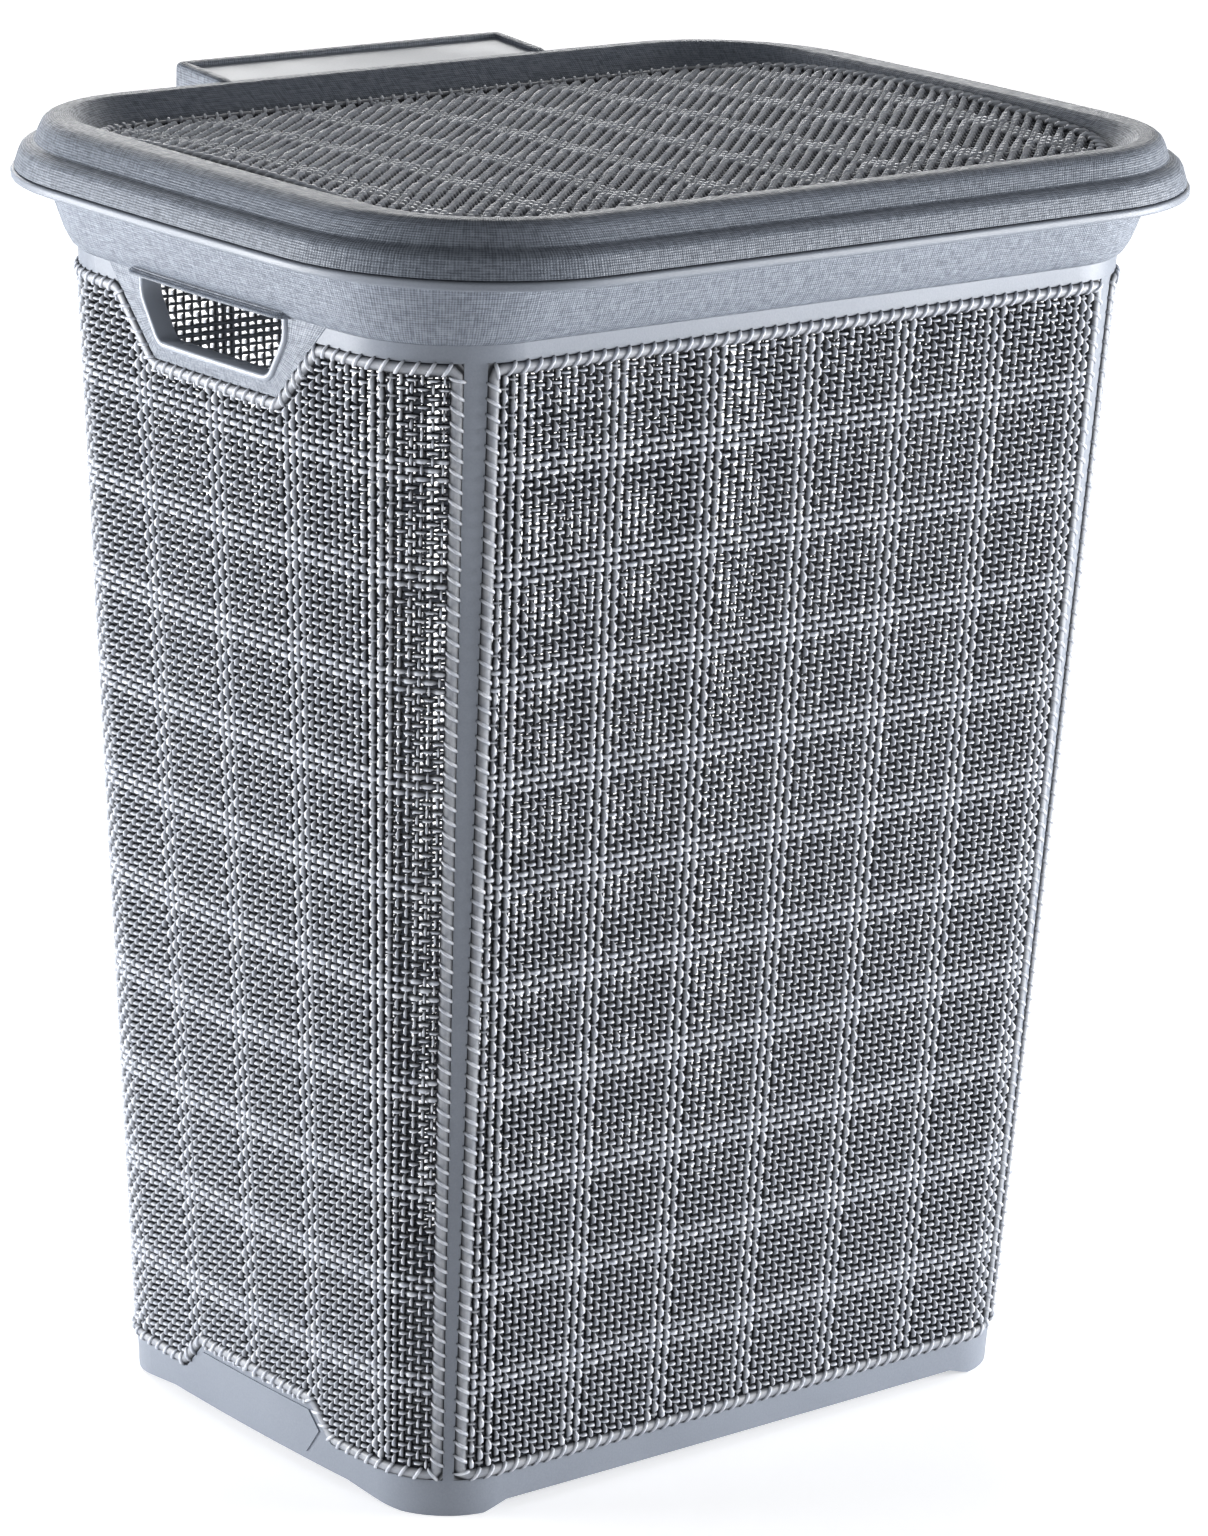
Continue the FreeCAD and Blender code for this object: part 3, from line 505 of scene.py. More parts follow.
def bound_edge(name, path, surface):
    """The cord along a path drawn on a surface, clockwise seen from outside, and its stitches."""
    ahead, outer = path_sides(path)
    section = np.array(CORD_SECTION + CORD_SECTION[:1])
    spot = path[:, None, :] + outer[:, None, :] * section[None, :, :1]
    # Painted shade: the cord's relief is its height lowered by a few mm, so its sides are painted
    # dark.
    relief = np.where(section[:, 0] > FLANGE_FROM, FLANGE_RELIEF, section[:, 1] - CORD_PAINTED_SHADE)
    cord = moulded_sheet(name, surface(spot[..., 0], spot[..., 1], section[None, :, 1]),
                         relief=np.broadcast_to(relief, spot.shape[:2]).copy())
    bpy.ops.object.shade_smooth_by_angle(angle=math.radians(50))
    length = np.concatenate([[0], np.cumsum(np.linalg.norm(np.diff(path, axis=0), axis=1))])
    count = round(length[-1] / STITCH_PITCH)
    at = (np.arange(count) + 0.5) * length[-1] / count
    start = np.stack([np.interp(at, length, path[:, k]) for k in (0, 1)], axis=1)
    nearest = np.searchsorted(length, at) - 1
    ahead, outer = ahead[nearest], outer[nearest]
    over = np.array(STITCH_LINE)
    turn = np.linspace(0, 2 * math.pi, 6)
    side = over[:, None, 0] + 0 * turn[None, :]
    lead = over[:, None, 0] * STITCH_LEAN + STITCH_R * over[:, None, 2] * np.cos(turn)[None, :]
    out = over[:, None, 1] + STITCH_R * over[:, None, 2] * np.sin(turn)[None, :]
    spot = start[:, None, None, :] + outer[:, None, None, :] * side[None, :, :, None]
    spot = spot + ahead[:, None, None, :] * lead[None, :, :, None]
    points = surface(spot[..., 0], spot[..., 1], np.broadcast_to(out, spot.shape[:-1]))
    points = points.transpose(1, 0, 2, 3).reshape(len(over), -1, 3)
    gap = np.zeros((len(over) - 1, points.shape[1] - 1), bool)
    gap[:, len(turn) - 1::len(turn)] = True
    relief = np.broadcast_to(out, spot.shape[:-1]).transpose(1, 0, 2).reshape(len(over), -1)
    # Painted shade: the stitches' relief is lowered by a millimetre, so they are painted darker.
    stitches = moulded_sheet(name + "_stitches", points, gap, relief - STITCH_PAINTED_SHADE)
    bpy.ops.object.shade_smooth()
    return cord, stitches


levels = np.linspace(PANEL_LOW_Z, PANEL_HIGH_Z, 14)
for side in COLUMNS:
    edges = [(float(strip_edge(side, z)), z) for z in levels]
    corners = [(-e, z) for e, z in edges]
    if side in ("left", "right"):
        corners += [(way * e, z) for way, (e, z) in
                    ((-1, HANDLE_WIDE), (-1, HANDLE_NARROW), (1, HANDLE_NARROW), (1, HANDLE_WIDE))]
    corners += [(e, z) for e, z in reversed(edges)]
    if side in ("left", "right"):
        corners += [(way * e, z) for way, (e, z) in
                    ((1, PLAQUE_WIDE), (1, PLAQUE_NARROW), (-1, PLAQUE_NARROW), (-1, PLAQUE_WIDE))]
    path = round_path(inset_path(corners, CORD_WIDTH / 2), PATH_RADIUS, PATH_STEP)

    def on_side(across, z, out, side=side):
        """Points on this side of the tub."""
        return on_wall(side, across, z, out)

    for piece in bound_edge("panel_edge_" + side, path, on_side):
        wear(piece, strand_polypropylene)
        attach(piece, "basket")
        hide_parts("panel_cord_" + side)


# --- Handles ------------------------------------------------------------------------------------
# A hand hole in each short side: a grained plate round it, a polished raised lip that turns into
# the hole, and a ribbed grip bar above it, painted darker as painted shade. All moulded with the
# tub in polypropylene.

HOLE = ((-50.5, 528.0), (-50.5, 518.5), (-39.0, 500.0), (39.0, 500.0), (50.5, 518.5), (50.5, 528.0))
PLATE = ((-79.1, 528.0), (-70.1, 518.5), (-44.5, 491.4),
         (44.5, 491.4), (70.1, 518.5), (79.1, 528.0))

# Share of the way from hole to plate's edge, and mm out of the wall.
PLATE_SECTION = ((0.02, -2.4), (0.02, 0.3), (0.35, 0.3), (0.7, 0.3), (0.97, 0.3), (1.0, 0.05),
                 (1.0, -2.4), (0.02, -2.4))
# Mm from the hole's edge, and mm out of the wall.
LIP_SECTION = ((0.0, -8.4), (0.0, 0.6), (0.35, 1.2), (0.9, 1.5), (2.1, 1.5), (2.65, 1.2),
               (3.0, 0.6), (3.0, -8.4), (0.0, -8.4))
# Mm out of the wall, and height.
GRIP_SECTION = ((0.0, 527.4), (6.2, 527.4), (6.9, 527.8), (7.0, 528.5), (6.4, 529.0),
                (5.6, 528.9), (5.2, 529.6), (4.4, 529.5), (4.0, 530.3), (3.2, 530.2),
                (2.8, 531.0), (1.6, 531.3), (0.0, 532.3), (0.0, 527.4))
# Mm across the bar, and share of the section's depth there: its ends are rounded off.
GRIP_ENDS = ((50.0, 1.0), (53.0, 0.88), (54.6, 0.7), (55.6, 0.45), (56.0, 0.15))
LIP_STEP = 1.2
GRAIN_PITCH = 1.1
BAND_REPEAT = 0.314     # how far apart the bands of a wave texture of scale 1 are


# Moulded polypropylene with a linen grain etched in the mould: crossed threads, really 0.6 mm
# apart and drawn 1.1 mm apart so that they show, with uneven brighter ones. They are drawn
# along the surface from the UV map, which is in mm. A second copy is painted darker, as painted
# shade, for the lid and the grip bars.
def linen_grained(name, dark, light):
    """Polypropylene with the linen grain, between two hex colours."""
    material, tree, output = start_material(name)
    surface = add_node(tree, "ShaderNodeTexCoord", {}).outputs["UV"]
    threads = []
    for direction, stretch in (("X", (0.8, 0.16, 1.0)), ("Y", (0.16, 0.8, 1.0))):
        wave = add_node(tree, "ShaderNodeTexWave",
                        {"Vector": surface, "Scale": BAND_REPEAT / GRAIN_PITCH, "Distortion": 0.4,
                         "Detail": 1.0, "Detail Scale": 0.5}, bands_direction=direction)
        long = add_node(tree, "ShaderNodeMapping", {"Vector": surface, "Scale": stretch}).outputs[0]
        uneven = add_node(tree, "ShaderNodeTexNoise",
                          {"Vector": long, "Scale": 1.0, "Detail": 2.0}).outputs["Fac"]
        threads.append(add_node(tree, "ShaderNodeMath",
                                {0: wave.outputs["Fac"], 1: 0.3, 2: uneven},
                                operation="MULTIPLY_ADD").outputs[0])
    threads = add_node(tree, "ShaderNodeMath", {0: threads[0], 1: threads[1]},
                       operation="ADD").outputs[0]
    share = add_node(tree, "ShaderNodeMapRange",
                     {"Value": threads, "From Min": 1.0, "From Max": 1.6}).outputs[0]
    gloss = add_node(tree, "ShaderNodeMapRange",
                     {"Value": share, "To Min": 0.6, "To Max": 0.4}).outputs[0]
    bump = add_node(tree, "ShaderNodeBump",
                    {"Height": threads, "Strength": 0.55, "Distance": 0.0005})
    shader = add_node(tree, "ShaderNodeBsdfPrincipled",
                      {"Base Color": shade(tree, dark, light, share), "Roughness": gloss,
                       "IOR": 1.49, "Normal": bump.outputs[0]})
    tree.links.new(shader.outputs[0], output.inputs[0])
    return material


linen_polypropylene = linen_grained("polypropylene_linen_grained", "#676e7a", "#99a1ae")
# Painted shade: the same grained plastic painted darker, worn by the lid, its hinge cover and the
# grip bars.
linen_polypropylene_painted_shade = linen_grained("polypropylene_linen_grained_painted_shade",
                                         "#555c68", "#868e9b")

# Moulded polypropylene from a polished part of the mould: smooth and glossy, faint flow marks.
polished_polypropylene, tree, output = start_material("polypropylene_polished_moulded")
place = add_node(tree, "ShaderNodeTexCoord", {}).outputs["Object"]
flow = add_node(tree, "ShaderNodeTexNoise",
                {"Vector": place, "Scale": 40.0, "Detail": 3.0}).outputs["Fac"]
gloss = add_node(tree, "ShaderNodeMapRange", {"Value": flow, "From Min": 0.3, "From Max": 0.7,
                                              "To Min": 0.2, "To Max": 0.3}).outputs[0]
bump = add_node(tree, "ShaderNodeBump", {"Height": flow, "Strength": 0.08, "Distance": 0.0008})
shader = add_node(tree, "ShaderNodeBsdfPrincipled",
                  {"Base Color": shade(tree, "#a0a7b3", "#aab1bd", flow), "Roughness": gloss,
                   "IOR": 1.49, "Normal": bump.outputs[0]})
tree.links.new(shader.outputs[0], output.inputs[0])

for side in ("left", "right"):
    inner, outer = [], []
    for (a, b), (c, d) in zip(zip(HOLE, HOLE[1:]), zip(PLATE, PLATE[1:])):
        for t in np.linspace(0, 1, 9)[:-1]:
            inner.append(np.array(a) * (1 - t) + np.array(b) * t)
            outer.append(np.array(c) * (1 - t) + np.array(d) * t)
    inner, outer = np.array(inner + [HOLE[-1]]), np.array(outer + [PLATE[-1]])
    section = np.array(PLATE_SECTION)
    share = section[None, :, :1]
    spot = inner[:, None, :] * (1 - share) + outer[:, None, :] * share
    plate = moulded_sheet("handle_plate_" + side,
                          on_wall(side, spot[..., 0], spot[..., 1], section[None, :, 1]))
    bpy.ops.object.shade_smooth_by_angle(angle=math.radians(30))
    wear(plate, linen_polypropylene)

    path = round_path(HOLE, PATH_RADIUS, LIP_STEP, closed=False)
    ahead, outer = path_sides(path, closed=False)
    section = np.array(LIP_SECTION)
    spot = path[:, None, :] - outer[:, None, :] * section[None, :, :1]
    lip = moulded_sheet("handle_lip_" + side,
                        on_wall(side, spot[..., 0], spot[..., 1], section[None, :, 1]))
    bpy.ops.object.shade_smooth_by_angle(angle=math.radians(50))
    wear(lip, polished_polypropylene)

    ends = np.array(GRIP_ENDS)
    across = np.concatenate([-ends[::-1, 0], np.linspace(-44, 44, 15), ends[:, 0]])
    full = np.concatenate([ends[::-1, 1], np.ones(15), ends[:, 1]])
    section = np.array(GRIP_SECTION)
    out = section[None, :, 0] * full[:, None]
    grip = moulded_sheet("handle_grip_bar_" + side,
                         on_wall(side, across[:, None], section[None, :, 1], out))
    bpy.ops.object.shade_smooth_by_angle(angle=math.radians(40))
    # Painted shade: the grip bar is painted darker than the grained plate round the hole.
    wear(grip, linen_polypropylene_painted_shade)

    for piece in (plate, lip, grip):
        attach(piece, "basket")
    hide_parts("handle_surround_" + side)
    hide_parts("handle_surround_" + side)
    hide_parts("handle_grip_" + side)


# --- Collar and flange --------------------------------------------------------------------------
# Above the neck the tub flares into a tall grained collar with a rolled lower edge, and ends in a
# flat flange that the lid sits on. One moulding with the tub, linen-grained on the outside.

NECK_TOP_Z = 527.5
COLLAR_TOP_Z, FLANGE_TOP_Z = 556.6, 560.3
FLANGE_OUTLINE = outline(240.0, 182.2, 98.0, 5.8, 3.0)


def ring_of(shape, side_steps=18, corner_steps=14):
    """Points round an outline, the same number on each of its eight arcs."""
    half_x, half_y, corner_r, side_x, side_y = shape
    cx, cy = (float(c) for c in corner_centre(shape))
    start = math.atan2(cy, cx - (half_x - side_x))
    end = math.atan2(cy - (half_y - side_y), cx)
    a = np.linspace(0, start, side_steps)[:-1]
    b = np.linspace(start, end, corner_steps)[:-1]
    c = np.linspace(end, math.pi / 2, side_steps)
    x = np.concatenate([half_x - side_x + side_x * np.cos(a), cx + corner_r * np.cos(b),
                        side_y * np.cos(c)])
    y = np.concatenate([side_x * np.sin(a), cy + corner_r * np.sin(b),
                        half_y - side_y + side_y * np.sin(c)])
    x[-1] = y[0] = 0.0
    quarter = np.stack([x, y], axis=1)
    half = np.concatenate([quarter, quarter[-2::-1] * [-1, 1]])
    return np.concatenate([half, half[-2::-1] * [1, -1]])


def round_section(section):
    """A section's corners, each (outline, height, rounding), with the rounding drawn in."""
    places = np.array([list(shape) + [z] for shape, z, _ in section])
    run = []
    for i, (_, _, radius) in enumerate(section):
        here = places[i]
        if radius == 0:
            run.append(here)
            continue
        cut = []
        for near in (places[i - 1], places[(i + 1) % len(section)]):
            step = near - here
            size = math.hypot((step[0] + step[1]) / 2, step[5])
            cut.append(step * min(radius / size, 0.48))
        for t in np.linspace(0, 1, 5):
            run.append(here + (1 - t) ** 2 * cut[0] + t ** 2 * cut[1])
    return run + run[:1]


def turned_ring(name, section, lift=None):
    """A closed section carried round the object; lift, if given, moves the ring's points."""
    rings = []
    for place in round_section(section):
        ring = ring_of(tuple(place[:5]))
        z = np.full(len(ring), place[5])
        rings.append(np.stack([ring[:, 0], ring[:, 1], z], axis=1))
    points = np.array(rings)
    if lift is not None:
        points = lift(points)
    piece = moulded_sheet(name, points)
    bpy.ops.object.shade_smooth_by_angle(angle=math.radians(35))
    return piece


neck = tub_outline(NECK_TOP_Z)
collar = turned_ring("collar_ring", (
    (neck, NECK_TOP_Z, 0.6), (grow(neck, 2.6), 529.2, 1.2), (grow(neck, 5.8), 534.5, 2.6),
    (grow(neck, 14.0), COLLAR_TOP_Z, 0), (grow(neck, 11.6), COLLAR_TOP_Z, 0),
    (grow(neck, 3.4), 534.5, 2.0), (grow(neck, 0.2), 529.5, 0.8),
    (grow(neck, -2.4), NECK_TOP_Z, 0)))
flange = turned_ring("flange_ring", (
    (grow(FLANGE_OUTLINE, -3.0), COLLAR_TOP_Z - 0.1, 0), (FLANGE_OUTLINE, COLLAR_TOP_Z - 0.1, 1.2),
    (FLANGE_OUTLINE, FLANGE_TOP_Z, 1.4), (grow(FLANGE_OUTLINE, -4.0), FLANGE_TOP_Z, 0),
    (grow(neck, 11.6), FLANGE_TOP_Z, 0), (grow(neck, 11.6), COLLAR_TOP_Z - 0.1, 0)))
wear(collar, linen_polypropylene)
wear(flange, satin_polypropylene)
for piece, node in ((collar, "collar"), (flange, "flange")):
    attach(piece, "basket")
    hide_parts(node)


# --- Lid ----------------------------------------------------------------------------------------
# A hollow grained frame, with a lower band, a groove and a tall rounded rim, falls inwards to a
# recess that holds a woven panel like the tub's. The panel dips in its middle and is bound by
# the same stitched cord. Moulded polypropylene.

LID_OUTLINE = grow(FLANGE_OUTLINE, -1.3)
RIM_OUTLINE = outline(222.0, 165.3, 74.0, 5.6, 2.8)
WELL_OUTLINE = outline(205.5, 154.0, 53.0, 5.6, 2.8)
PANEL_OUTLINE = outline(201.0, 141.5, 50.0, 5.0, 2.0)
LID_Z, RIM_Z, WELL_Z, PANEL_Z, WELL_LOW_Z = 560.8, 582.8, 580.9, 571.6, 567.2
LID_WALL = 2.4
LEDGE_TOP, LEDGE_LOW = 2.4, 4.4
LID_COLUMNS, LID_ROWS = 97, 77
LAST_THICK_COLUMN, LAST_THICK_ROW = 92, 72
PANEL_CROWN, MIDDLE_CROWN = 8.0, 2.0

# The lid's strands are a little narrower. The lengthways ones lie low and the crossways ones
# high; each set is painted lighter or darker, as painted light and shade, by mm added to its
# relief.
LID_WIDTH = 0.94
LENGTHWAYS_OVER, LENGTHWAYS_UNDER = ((-0.6, -0.6), (1.1, 1.3)), ((-1.6, -1.6), (-0.8, -0.8))
CROSSWAYS_OVER, CROSSWAYS_UNDER = ((1.3, 0.9), (1.6, 1.6)), ((-1.2, -1.2), (-0.5, -0.9))
LENGTHWAYS_PAINTED_LIGHT, CROSSWAYS_PAINTED_LIGHT = -0.1, 0.8


def panel_lift(x, y):
    """Height of the lid's woven panel over its front and rear edges."""
    crown = MIDDLE_CROWN + (PANEL_CROWN - MIDDLE_CROWN) * np.clip(x / PANEL_OUTLINE[0], -1, 1) ** 2
    return crown * (1 - np.clip(y / PANEL_OUTLINE[1], -1, 1) ** 2)


def lift_ledge(points):
    """The ledge under the woven panel follows the panel's curve; it starts as mm below it."""
    x, y, below = np.moveaxis(points, -1, 0)
    return np.stack([x, y, PANEL_Z - below + panel_lift(x, y)], axis=-1)


groove = grow(LID_OUTLINE, -8.8)
belly_z = LID_Z + 11.6 + 10.4 * 0.74
foot = blend(WELL_OUTLINE, PANEL_OUTLINE, (WELL_Z - WELL_LOW_Z) / (WELL_Z - PANEL_Z))
inner_groove = grow(groove, -LID_WALL)
lid_frame = turned_ring("lid_frame_ring", (
    (LID_OUTLINE, LID_Z, 0.6), (grow(LID_OUTLINE, -2.6), LID_Z + 8.6, 1.8),
    (grow(LID_OUTLINE, -5.8), LID_Z + 10.9, 1.2), (groove, LID_Z + 11.6, 0.8),
    (blend(groove, RIM_OUTLINE, 0.5), belly_z - 0.2, 3.2), (RIM_OUTLINE, RIM_Z - 0.6, 1.2),
    (grow(RIM_OUTLINE, -2.4), RIM_Z, 1.0), (grow(WELL_OUTLINE, 3.2), RIM_Z, 1.0),
    (grow(WELL_OUTLINE, 0.4), WELL_Z, 1.0), (foot, WELL_LOW_Z, 0),
    (grow(foot, LID_WALL), WELL_LOW_Z, 0), (grow(WELL_OUTLINE, LID_WALL), WELL_Z - LID_WALL, 0.8),
    (grow(RIM_OUTLINE, -3.2), RIM_Z - LID_WALL, 0.8),
    (blend(inner_groove, grow(RIM_OUTLINE, -LID_WALL), 0.5), belly_z - LID_WALL, 2.0),
    (inner_groove, LID_Z + 9.2, 0), (grow(LID_OUTLINE, -8.0), LID_Z + 8.5, 0),
    (grow(LID_OUTLINE, -5.0), LID_Z + 6.4, 0), (grow(LID_OUTLINE, -LID_WALL), LID_Z, 0)))
ledge_outer, ledge_inner = grow(PANEL_OUTLINE, -0.2), grow(PANEL_OUTLINE, -9.6)
ledge = turned_ring("lid_ledge", (
    (ledge_outer, LEDGE_TOP, 0), (ledge_inner, LEDGE_TOP, 0.5),
    (ledge_inner, LEDGE_LOW, 0.5), (ledge_outer, LEDGE_LOW, 0)), lift_ledge)
for piece in (lid_frame, ledge):
    # Painted shade: the lid's frame and ledge are painted darker than the tub's grained parts.
    wear(piece, linen_polypropylene_painted_shade)
    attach(piece, "lid")
    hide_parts("lid_frame")


def on_lid(x, y, out):
    """Points on the lid's panel, out being mm above it."""
    x, y, out = np.broadcast_arrays(x, y, out)
    return np.stack([x, y, PANEL_Z + panel_lift(x, y) + out], axis=-1)


def off_panel(x, y):
    """True where the cord round the lid's panel hides the strands' ends."""
    half_x, half_y, corner_r, side_x, side_y = grow(PANEL_OUTLINE, -CORD_WIDTH * 0.6)
    cx, cy = (float(c) for c in corner_centre((half_x, half_y, corner_r, side_x, side_y)))
    ax, ay = np.abs(x), np.abs(y)
    past_corner = (ax > cx) & (ay > cy) & (np.hypot(ax - cx, ay - cy) > corner_r)
    past_side = np.hypot(ax - (half_x - side_x), ay) > side_x
    past_end = np.hypot(ax, ay - (half_y - side_y)) > side_y
    return past_corner | past_side | past_end


lid_columns, lid_rows = np.arange(LID_COLUMNS), np.arange(LID_ROWS)
thick_columns = thick_strands(LID_COLUMNS, FIRST_THICK_COLUMN, LAST_THICK_COLUMN)
thick_rows = thick_strands(LID_ROWS, FIRST_THICK_ROW, LAST_THICK_ROW)
span_x, span_y = PANEL_OUTLINE[0] - CORD_WIDTH / 2, PANEL_OUTLINE[1] - CORD_WIDTH / 2
pitch_x, pitch_y = 2 * span_x / LID_COLUMNS, 2 * span_y / LID_ROWS


def along_lid(middle, offset, out, samples):
    """Places of lengthways strands: middle is their x."""
    x, y = middle + offset, samples * pitch_y - span_y + 0 * offset
    return on_lid(x, y, out), off_panel(x, y)


def across_lid(middle, offset, out, samples):
    """Places of crossways strands: middle is their y."""
    x, y = samples * pitch_x - span_x + 0 * offset, middle + offset
    return on_lid(x, y, out - CROSS_SUNK), off_panel(x, y)


height, share = float_heights(thick_columns, thick_rows, 0, LENGTHWAYS_OVER, LENGTHWAYS_UNDER)
wide = np.where(thick_columns, THICK_UPRIGHT, FINE_UPRIGHT)[:, None] * share * LID_WIDTH
middle = (-span_x + (lid_columns + 0.5) * pitch_x)[:, None]
lengthways = strands("lid_weave_lengthways", middle, wide, height, along_lid,
                     sample_places(LID_ROWS), LENGTHWAYS_PAINTED_LIGHT)
height, share = float_heights(thick_rows, thick_columns, 1, CROSSWAYS_OVER, CROSSWAYS_UNDER)
wide = np.where(thick_rows, THICK_CROSS, FINE_CROSS)[:, None] * share * LID_WIDTH
middle = (-span_y + (lid_rows + 0.5) * pitch_y)[:, None]
crossways = strands("lid_weave_crossways", middle, wide, height, across_lid,
                    sample_places(LID_COLUMNS), CROSSWAYS_PAINTED_LIGHT)
for piece in (lengthways, crossways):
    wear(piece, strand_polypropylene)
    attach(piece, "lid")
    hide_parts("lid_woven_panel")

path = ring_of(grow(PANEL_OUTLINE, -CORD_WIDTH / 2), 60, 20)[::-1]
for piece in bound_edge("lid_panel_edge", path, on_lid):
    wear(piece, strand_polypropylene)
    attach(piece, "lid")
    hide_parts("lid_cord")


# --- Hinge --------------------------------------------------------------------------------------
# A box-shaped cover moulded on the back of the lid hides two barrel hinges. Its sloping top is a
# grained border round a smooth sunk plate, left bare. Below, ribs in the lid carry moulded
# plastic pins through brackets that stand on the tub's flange.

COVER_HALF_X, COVER_FRONT_Y, COVER_JOIN_Y, COVER_REAR_Y = 94.0, 157.5, 164.0, 199.5
PLATE_HALF_X, PLATE_BACK, PLATE_SUNK, PLATE_THICK = 88.4, 5.6, 1.9, 1.4
COVER_RADIUS, COVER_STEP = 6.0, 1.0
COVER_LOW_Z, NOTCH_Z, NOTCH_FRONT_Y = 566.0, 576.0, 190.0
KNUCKLE_X, NOTCH_HALF = 58.0, 8.0

# Mm inwards from the border's outer edge, and mm over its top; None is its lower edge.
BORDER_SECTION = ((0.0, None), (0.0, -2.6), (0.2, -1.6), (0.75, -0.75), (1.6, -0.2), (2.5, 0.0),
                  (5.3, 0.0), (5.8, -0.2), (6.0, -0.7), (6.0, -2.4), (2.5, -3.4),
                  (2.5, None), (0.0, None))


def cover_slope(y):
    """Height of the cover's top, which rises to the rear."""
    return 583.3 + (y - 155.0) * 0.08


def cover_top(y):
    """Height of the border's top, which runs down into the rim in front."""
    return cover_slope(y) - 1.5 * np.clip((COVER_JOIN_Y - y) / 6.0, 0, 1)


corners = ((-COVER_HALF_X, COVER_FRONT_Y), (-COVER_HALF_X, COVER_REAR_Y),
           (COVER_HALF_X, COVER_REAR_Y), (COVER_HALF_X, COVER_FRONT_Y))
path = round_path(corners, COVER_RADIUS, COVER_STEP, closed=False)
ahead, outer = path_sides(path, closed=False)
at_knuckle = np.abs(np.abs(path[:, 0]) - KNUCKLE_X) < NOTCH_HALF
low = np.where((path[:, 1] > NOTCH_FRONT_Y) & at_knuckle, NOTCH_Z, COVER_LOW_Z)
columns = []
for side_in, drop in BORDER_SECTION:
    spot = path - outer * side_in
    z = low if drop is None else cover_top(spot[:, 1]) + drop
    columns.append(np.stack([spot[:, 0], spot[:, 1], z], axis=1))
cover = moulded_sheet("hinge_cover_border", np.array(columns).transpose(1, 0, 2))
bpy.ops.object.shade_smooth_by_angle(angle=math.radians(40))
# Painted shade: the hinge cover's border is painted darker, like the rest of the lid.
wear(cover, linen_polypropylene_painted_shade)
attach(cover, "lid")
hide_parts("hinge_cover")

across, y = np.meshgrid(np.linspace(-PLATE_HALF_X, PLATE_HALF_X, 20),
                        np.linspace(COVER_FRONT_Y, COVER_REAR_Y - PLATE_BACK, 8))
top = np.stack([across, y, cover_slope(y) - PLATE_SUNK], axis=-1)
under = top[::-1].copy()
under[..., 2] -= PLATE_THICK
plate = moulded_sheet("hinge_cover_plate", np.concatenate([top, under, top[:1]]))
wear(plate, satin_polypropylene)
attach(plate, "lid")
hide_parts("hinge_plate")

for name in ("hinge_lugs_left", "hinge_lugs_right", "hinge_bracket_left", "hinge_bracket_right",
             "hinge_pin_left", "hinge_pin_right"):
    wear(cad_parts[name], satin_polypropylene)


# --- Studio -------------------------------------------------------------------------------------
# A wide floor of matt white paper that fades to white, two large soft lamps at the sides, a weak
# one in front and one behind, and a long lens from the front left.

bpy.ops.object.select_all(action="DESELECT")
bpy.ops.mesh.primitive_circle_add(vertices=96, radius=6.0, fill_type="NGON")
floor = bpy.context.object
floor.name = "studio_floor"
floor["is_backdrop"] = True
white_paper, tree, output = start_material("matt_white_paper")
place = add_node(tree, "ShaderNodeTexCoord", {}).outputs["Object"]
grain = add_node(tree, "ShaderNodeTexNoise",
                 {"Vector": place, "Scale": 8.0, "Detail": 2.0}).outputs["Fac"]
paper = add_node(tree, "ShaderNodeBsdfDiffuse",
                 {"Color": shade(tree, "#f2f2f4", "#f5f5f6", grain)})
seen = add_node(tree, "ShaderNodeLightPath", {}).outputs["Is Camera Ray"]
away = add_node(tree, "ShaderNodeVectorMath", {0: place}, operation="LENGTH").outputs["Value"]
far = add_node(tree, "ShaderNodeMapRange", {"Value": away, "From Min": 0.5, "From Max": 1.6,
                                            "To Min": 0.5, "To Max": 1.0}).outputs[0]
strength = add_node(tree, "ShaderNodeMapRange",
                    {"Value": seen, "To Min": 0.25, "To Max": far}).outputs[0]
glow = add_node(tree, "ShaderNodeEmission", {"Color": (1, 1, 1, 1), "Strength": strength})
both = add_node(tree, "ShaderNodeAddShader", {0: paper.outputs[0], 1: glow.outputs[0]})
tree.links.new(both.outputs[0], output.inputs[0])
floor.data.materials.append(white_paper)

world = bpy.data.worlds.new("studio")
bpy.context.scene.world = world
world.use_nodes = True
tree = world.node_tree
tree.nodes.clear()
seen = add_node(tree, "ShaderNodeLightPath", {}).outputs["Is Camera Ray"]
mirrored = add_node(tree, "ShaderNodeLightPath", {}).outputs["Is Glossy Ray"]
way = add_node(tree, "ShaderNodeTexCoord", {}).outputs["Generated"]
height = add_node(tree, "ShaderNodeSeparateXYZ", {"Vector": way}).outputs["Z"]
level = add_node(tree, "ShaderNodeMapRange", {"Value": height, "From Min": 0.05, "From Max": 0.6,
                                              "To Min": 0.32, "To Max": 0.17}).outputs[0]
backdrop = add_node(tree, "ShaderNodeMapRange", {"Value": height, "From Min": 0.3, "From Max": 0.6,
                                                 "To Min": 1.0, "To Max": 0.1}).outputs[0]
level = add_node(tree, "ShaderNodeMapRange",
                 {"Value": mirrored, "To Min": level, "To Max": backdrop}).outputs[0]
strength = add_node(tree, "ShaderNodeMapRange",
                    {"Value": seen, "To Min": level, "To Max": 1.0}).outputs[0]
sky = add_node(tree, "ShaderNodeBackground", {"Color": (1, 1, 1, 1), "Strength": strength})
add_node(tree, "ShaderNodeOutputWorld", {"Surface": sky.outputs[0]})

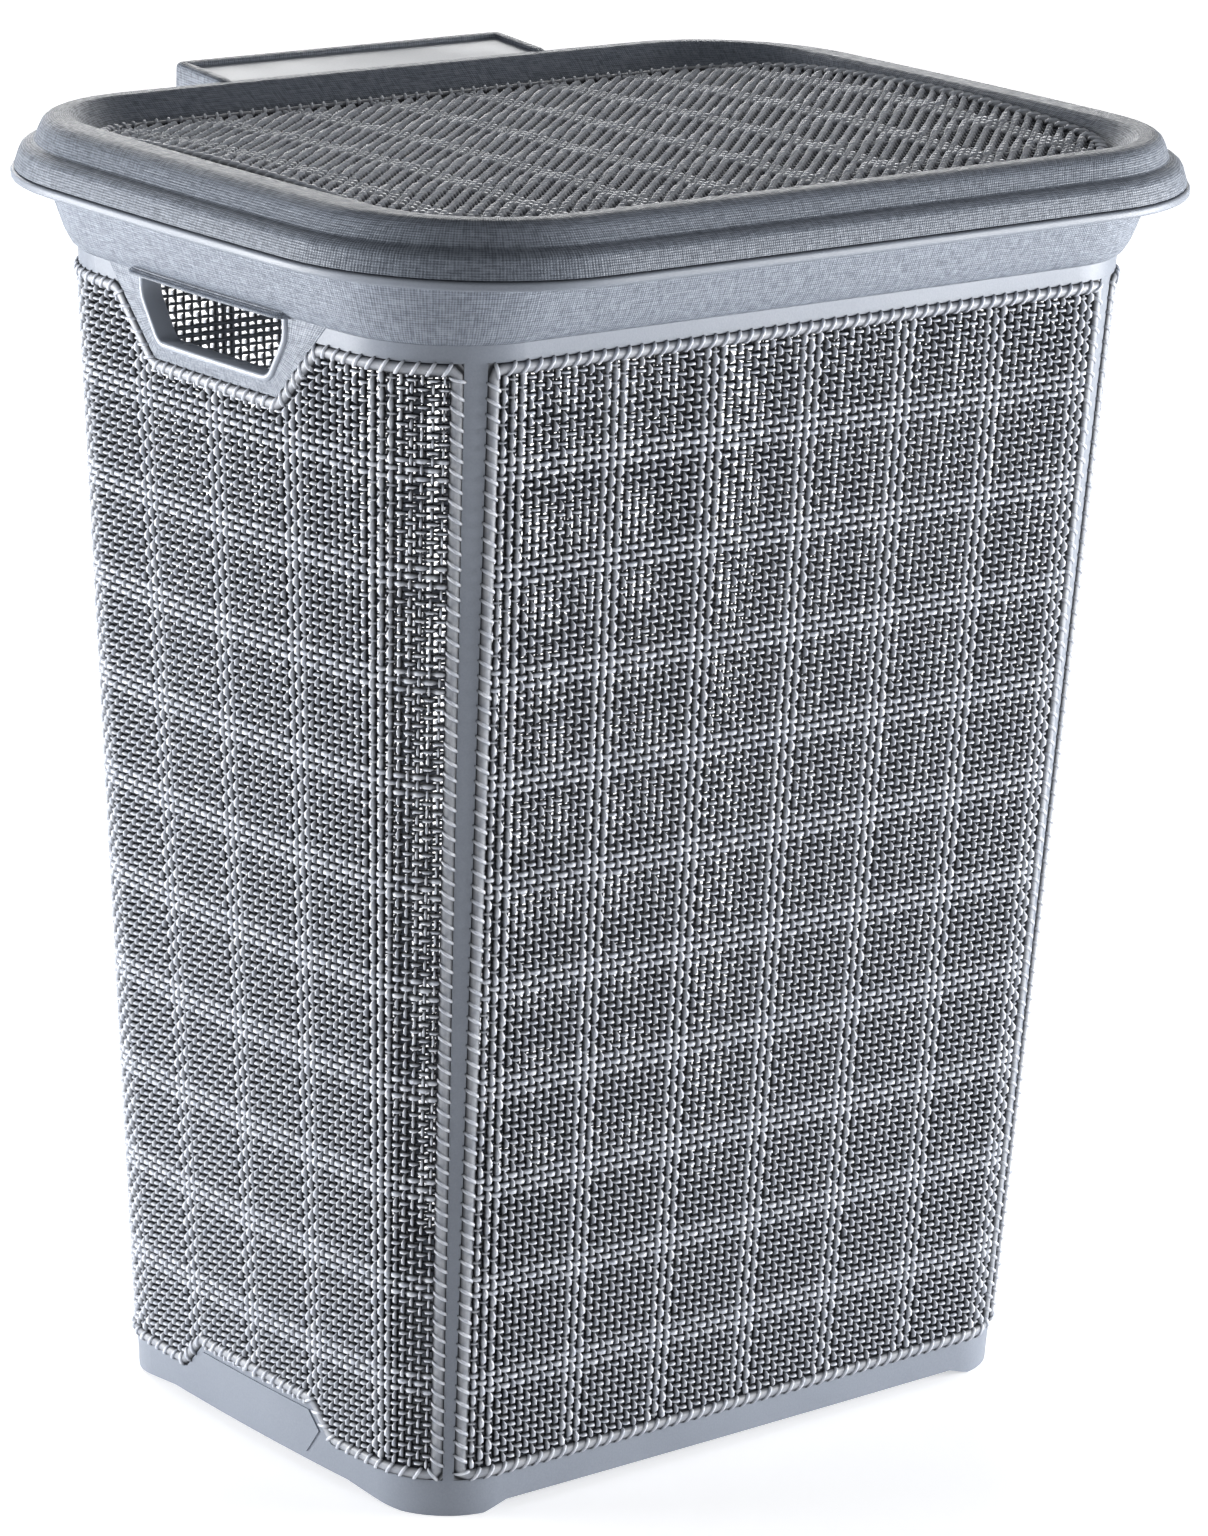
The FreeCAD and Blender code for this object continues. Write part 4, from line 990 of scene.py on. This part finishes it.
MIDDLE_HEIGHT = 0.3


def direction(azimuth, elevation):
    """The direction from the object to a place round it, in degrees; azimuth 0 is the front."""
    a, e = math.radians(azimuth), math.radians(elevation)
    return Vector((math.sin(a) * math.cos(e), -math.cos(a) * math.cos(e), math.sin(e)))


def softbox(name, azimuth, elevation, distance, wide, tall, watts):
    """A rectangular lamp that faces the middle of the object."""
    back = direction(azimuth, elevation)
    bpy.ops.object.light_add(type="AREA", location=Vector((0, 0, MIDDLE_HEIGHT)) + back * distance)
    lamp = bpy.context.object
    lamp.name = name
    lamp.data.shape = "RECTANGLE"
    lamp.data.size, lamp.data.size_y = wide, tall
    lamp.data.energy = watts
    lamp.rotation_euler = back.to_track_quat("Z", "Y").to_euler()


softbox("lamp_left", -128, 2, 1.9, 1.2, 0.75, 46)
softbox("lamp_right", 55, 2, 1.9, 1.2, 0.75, 48)
softbox("lamp_front", -38, 5, 3.2, 1.2, 1.2, 3)
softbox("lamp_back", 150, 22, 2.5, 2.0, 0.7, 26)

scene = bpy.context.scene
scene.view_settings.view_transform = "Standard"

AZIMUTH, ELEVATION, ROLL, DISTANCE = -39.53, 16.35, 2.03, 2.65031
SHIFT_RIGHT, SHIFT_UP = 0.00833, -0.0127
back = direction(AZIMUTH, ELEVATION)
right = Vector((math.cos(math.radians(AZIMUTH)), math.sin(math.radians(AZIMUTH)), 0.0))
up = back.cross(right)
target = Vector((0, TUB_Y * 0.001, MIDDLE_HEIGHT)) + right * SHIFT_RIGHT + up * SHIFT_UP
roll = math.radians(ROLL)
rolled_right = right * math.cos(roll) + up * math.sin(roll)
rolled_up = up * math.cos(roll) - right * math.sin(roll)
turned = Matrix((rolled_right, rolled_up, back)).transposed().to_4x4()
bpy.ops.object.camera_add()
camera = bpy.context.object
camera.matrix_world = Matrix.Translation(target + back * DISTANCE) @ turned
camera.data.lens = 137.09
camera.data.sensor_width = 36.0
camera.data.clip_start, camera.data.clip_end = 0.05, 50.0
scene.camera = camera

low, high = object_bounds()
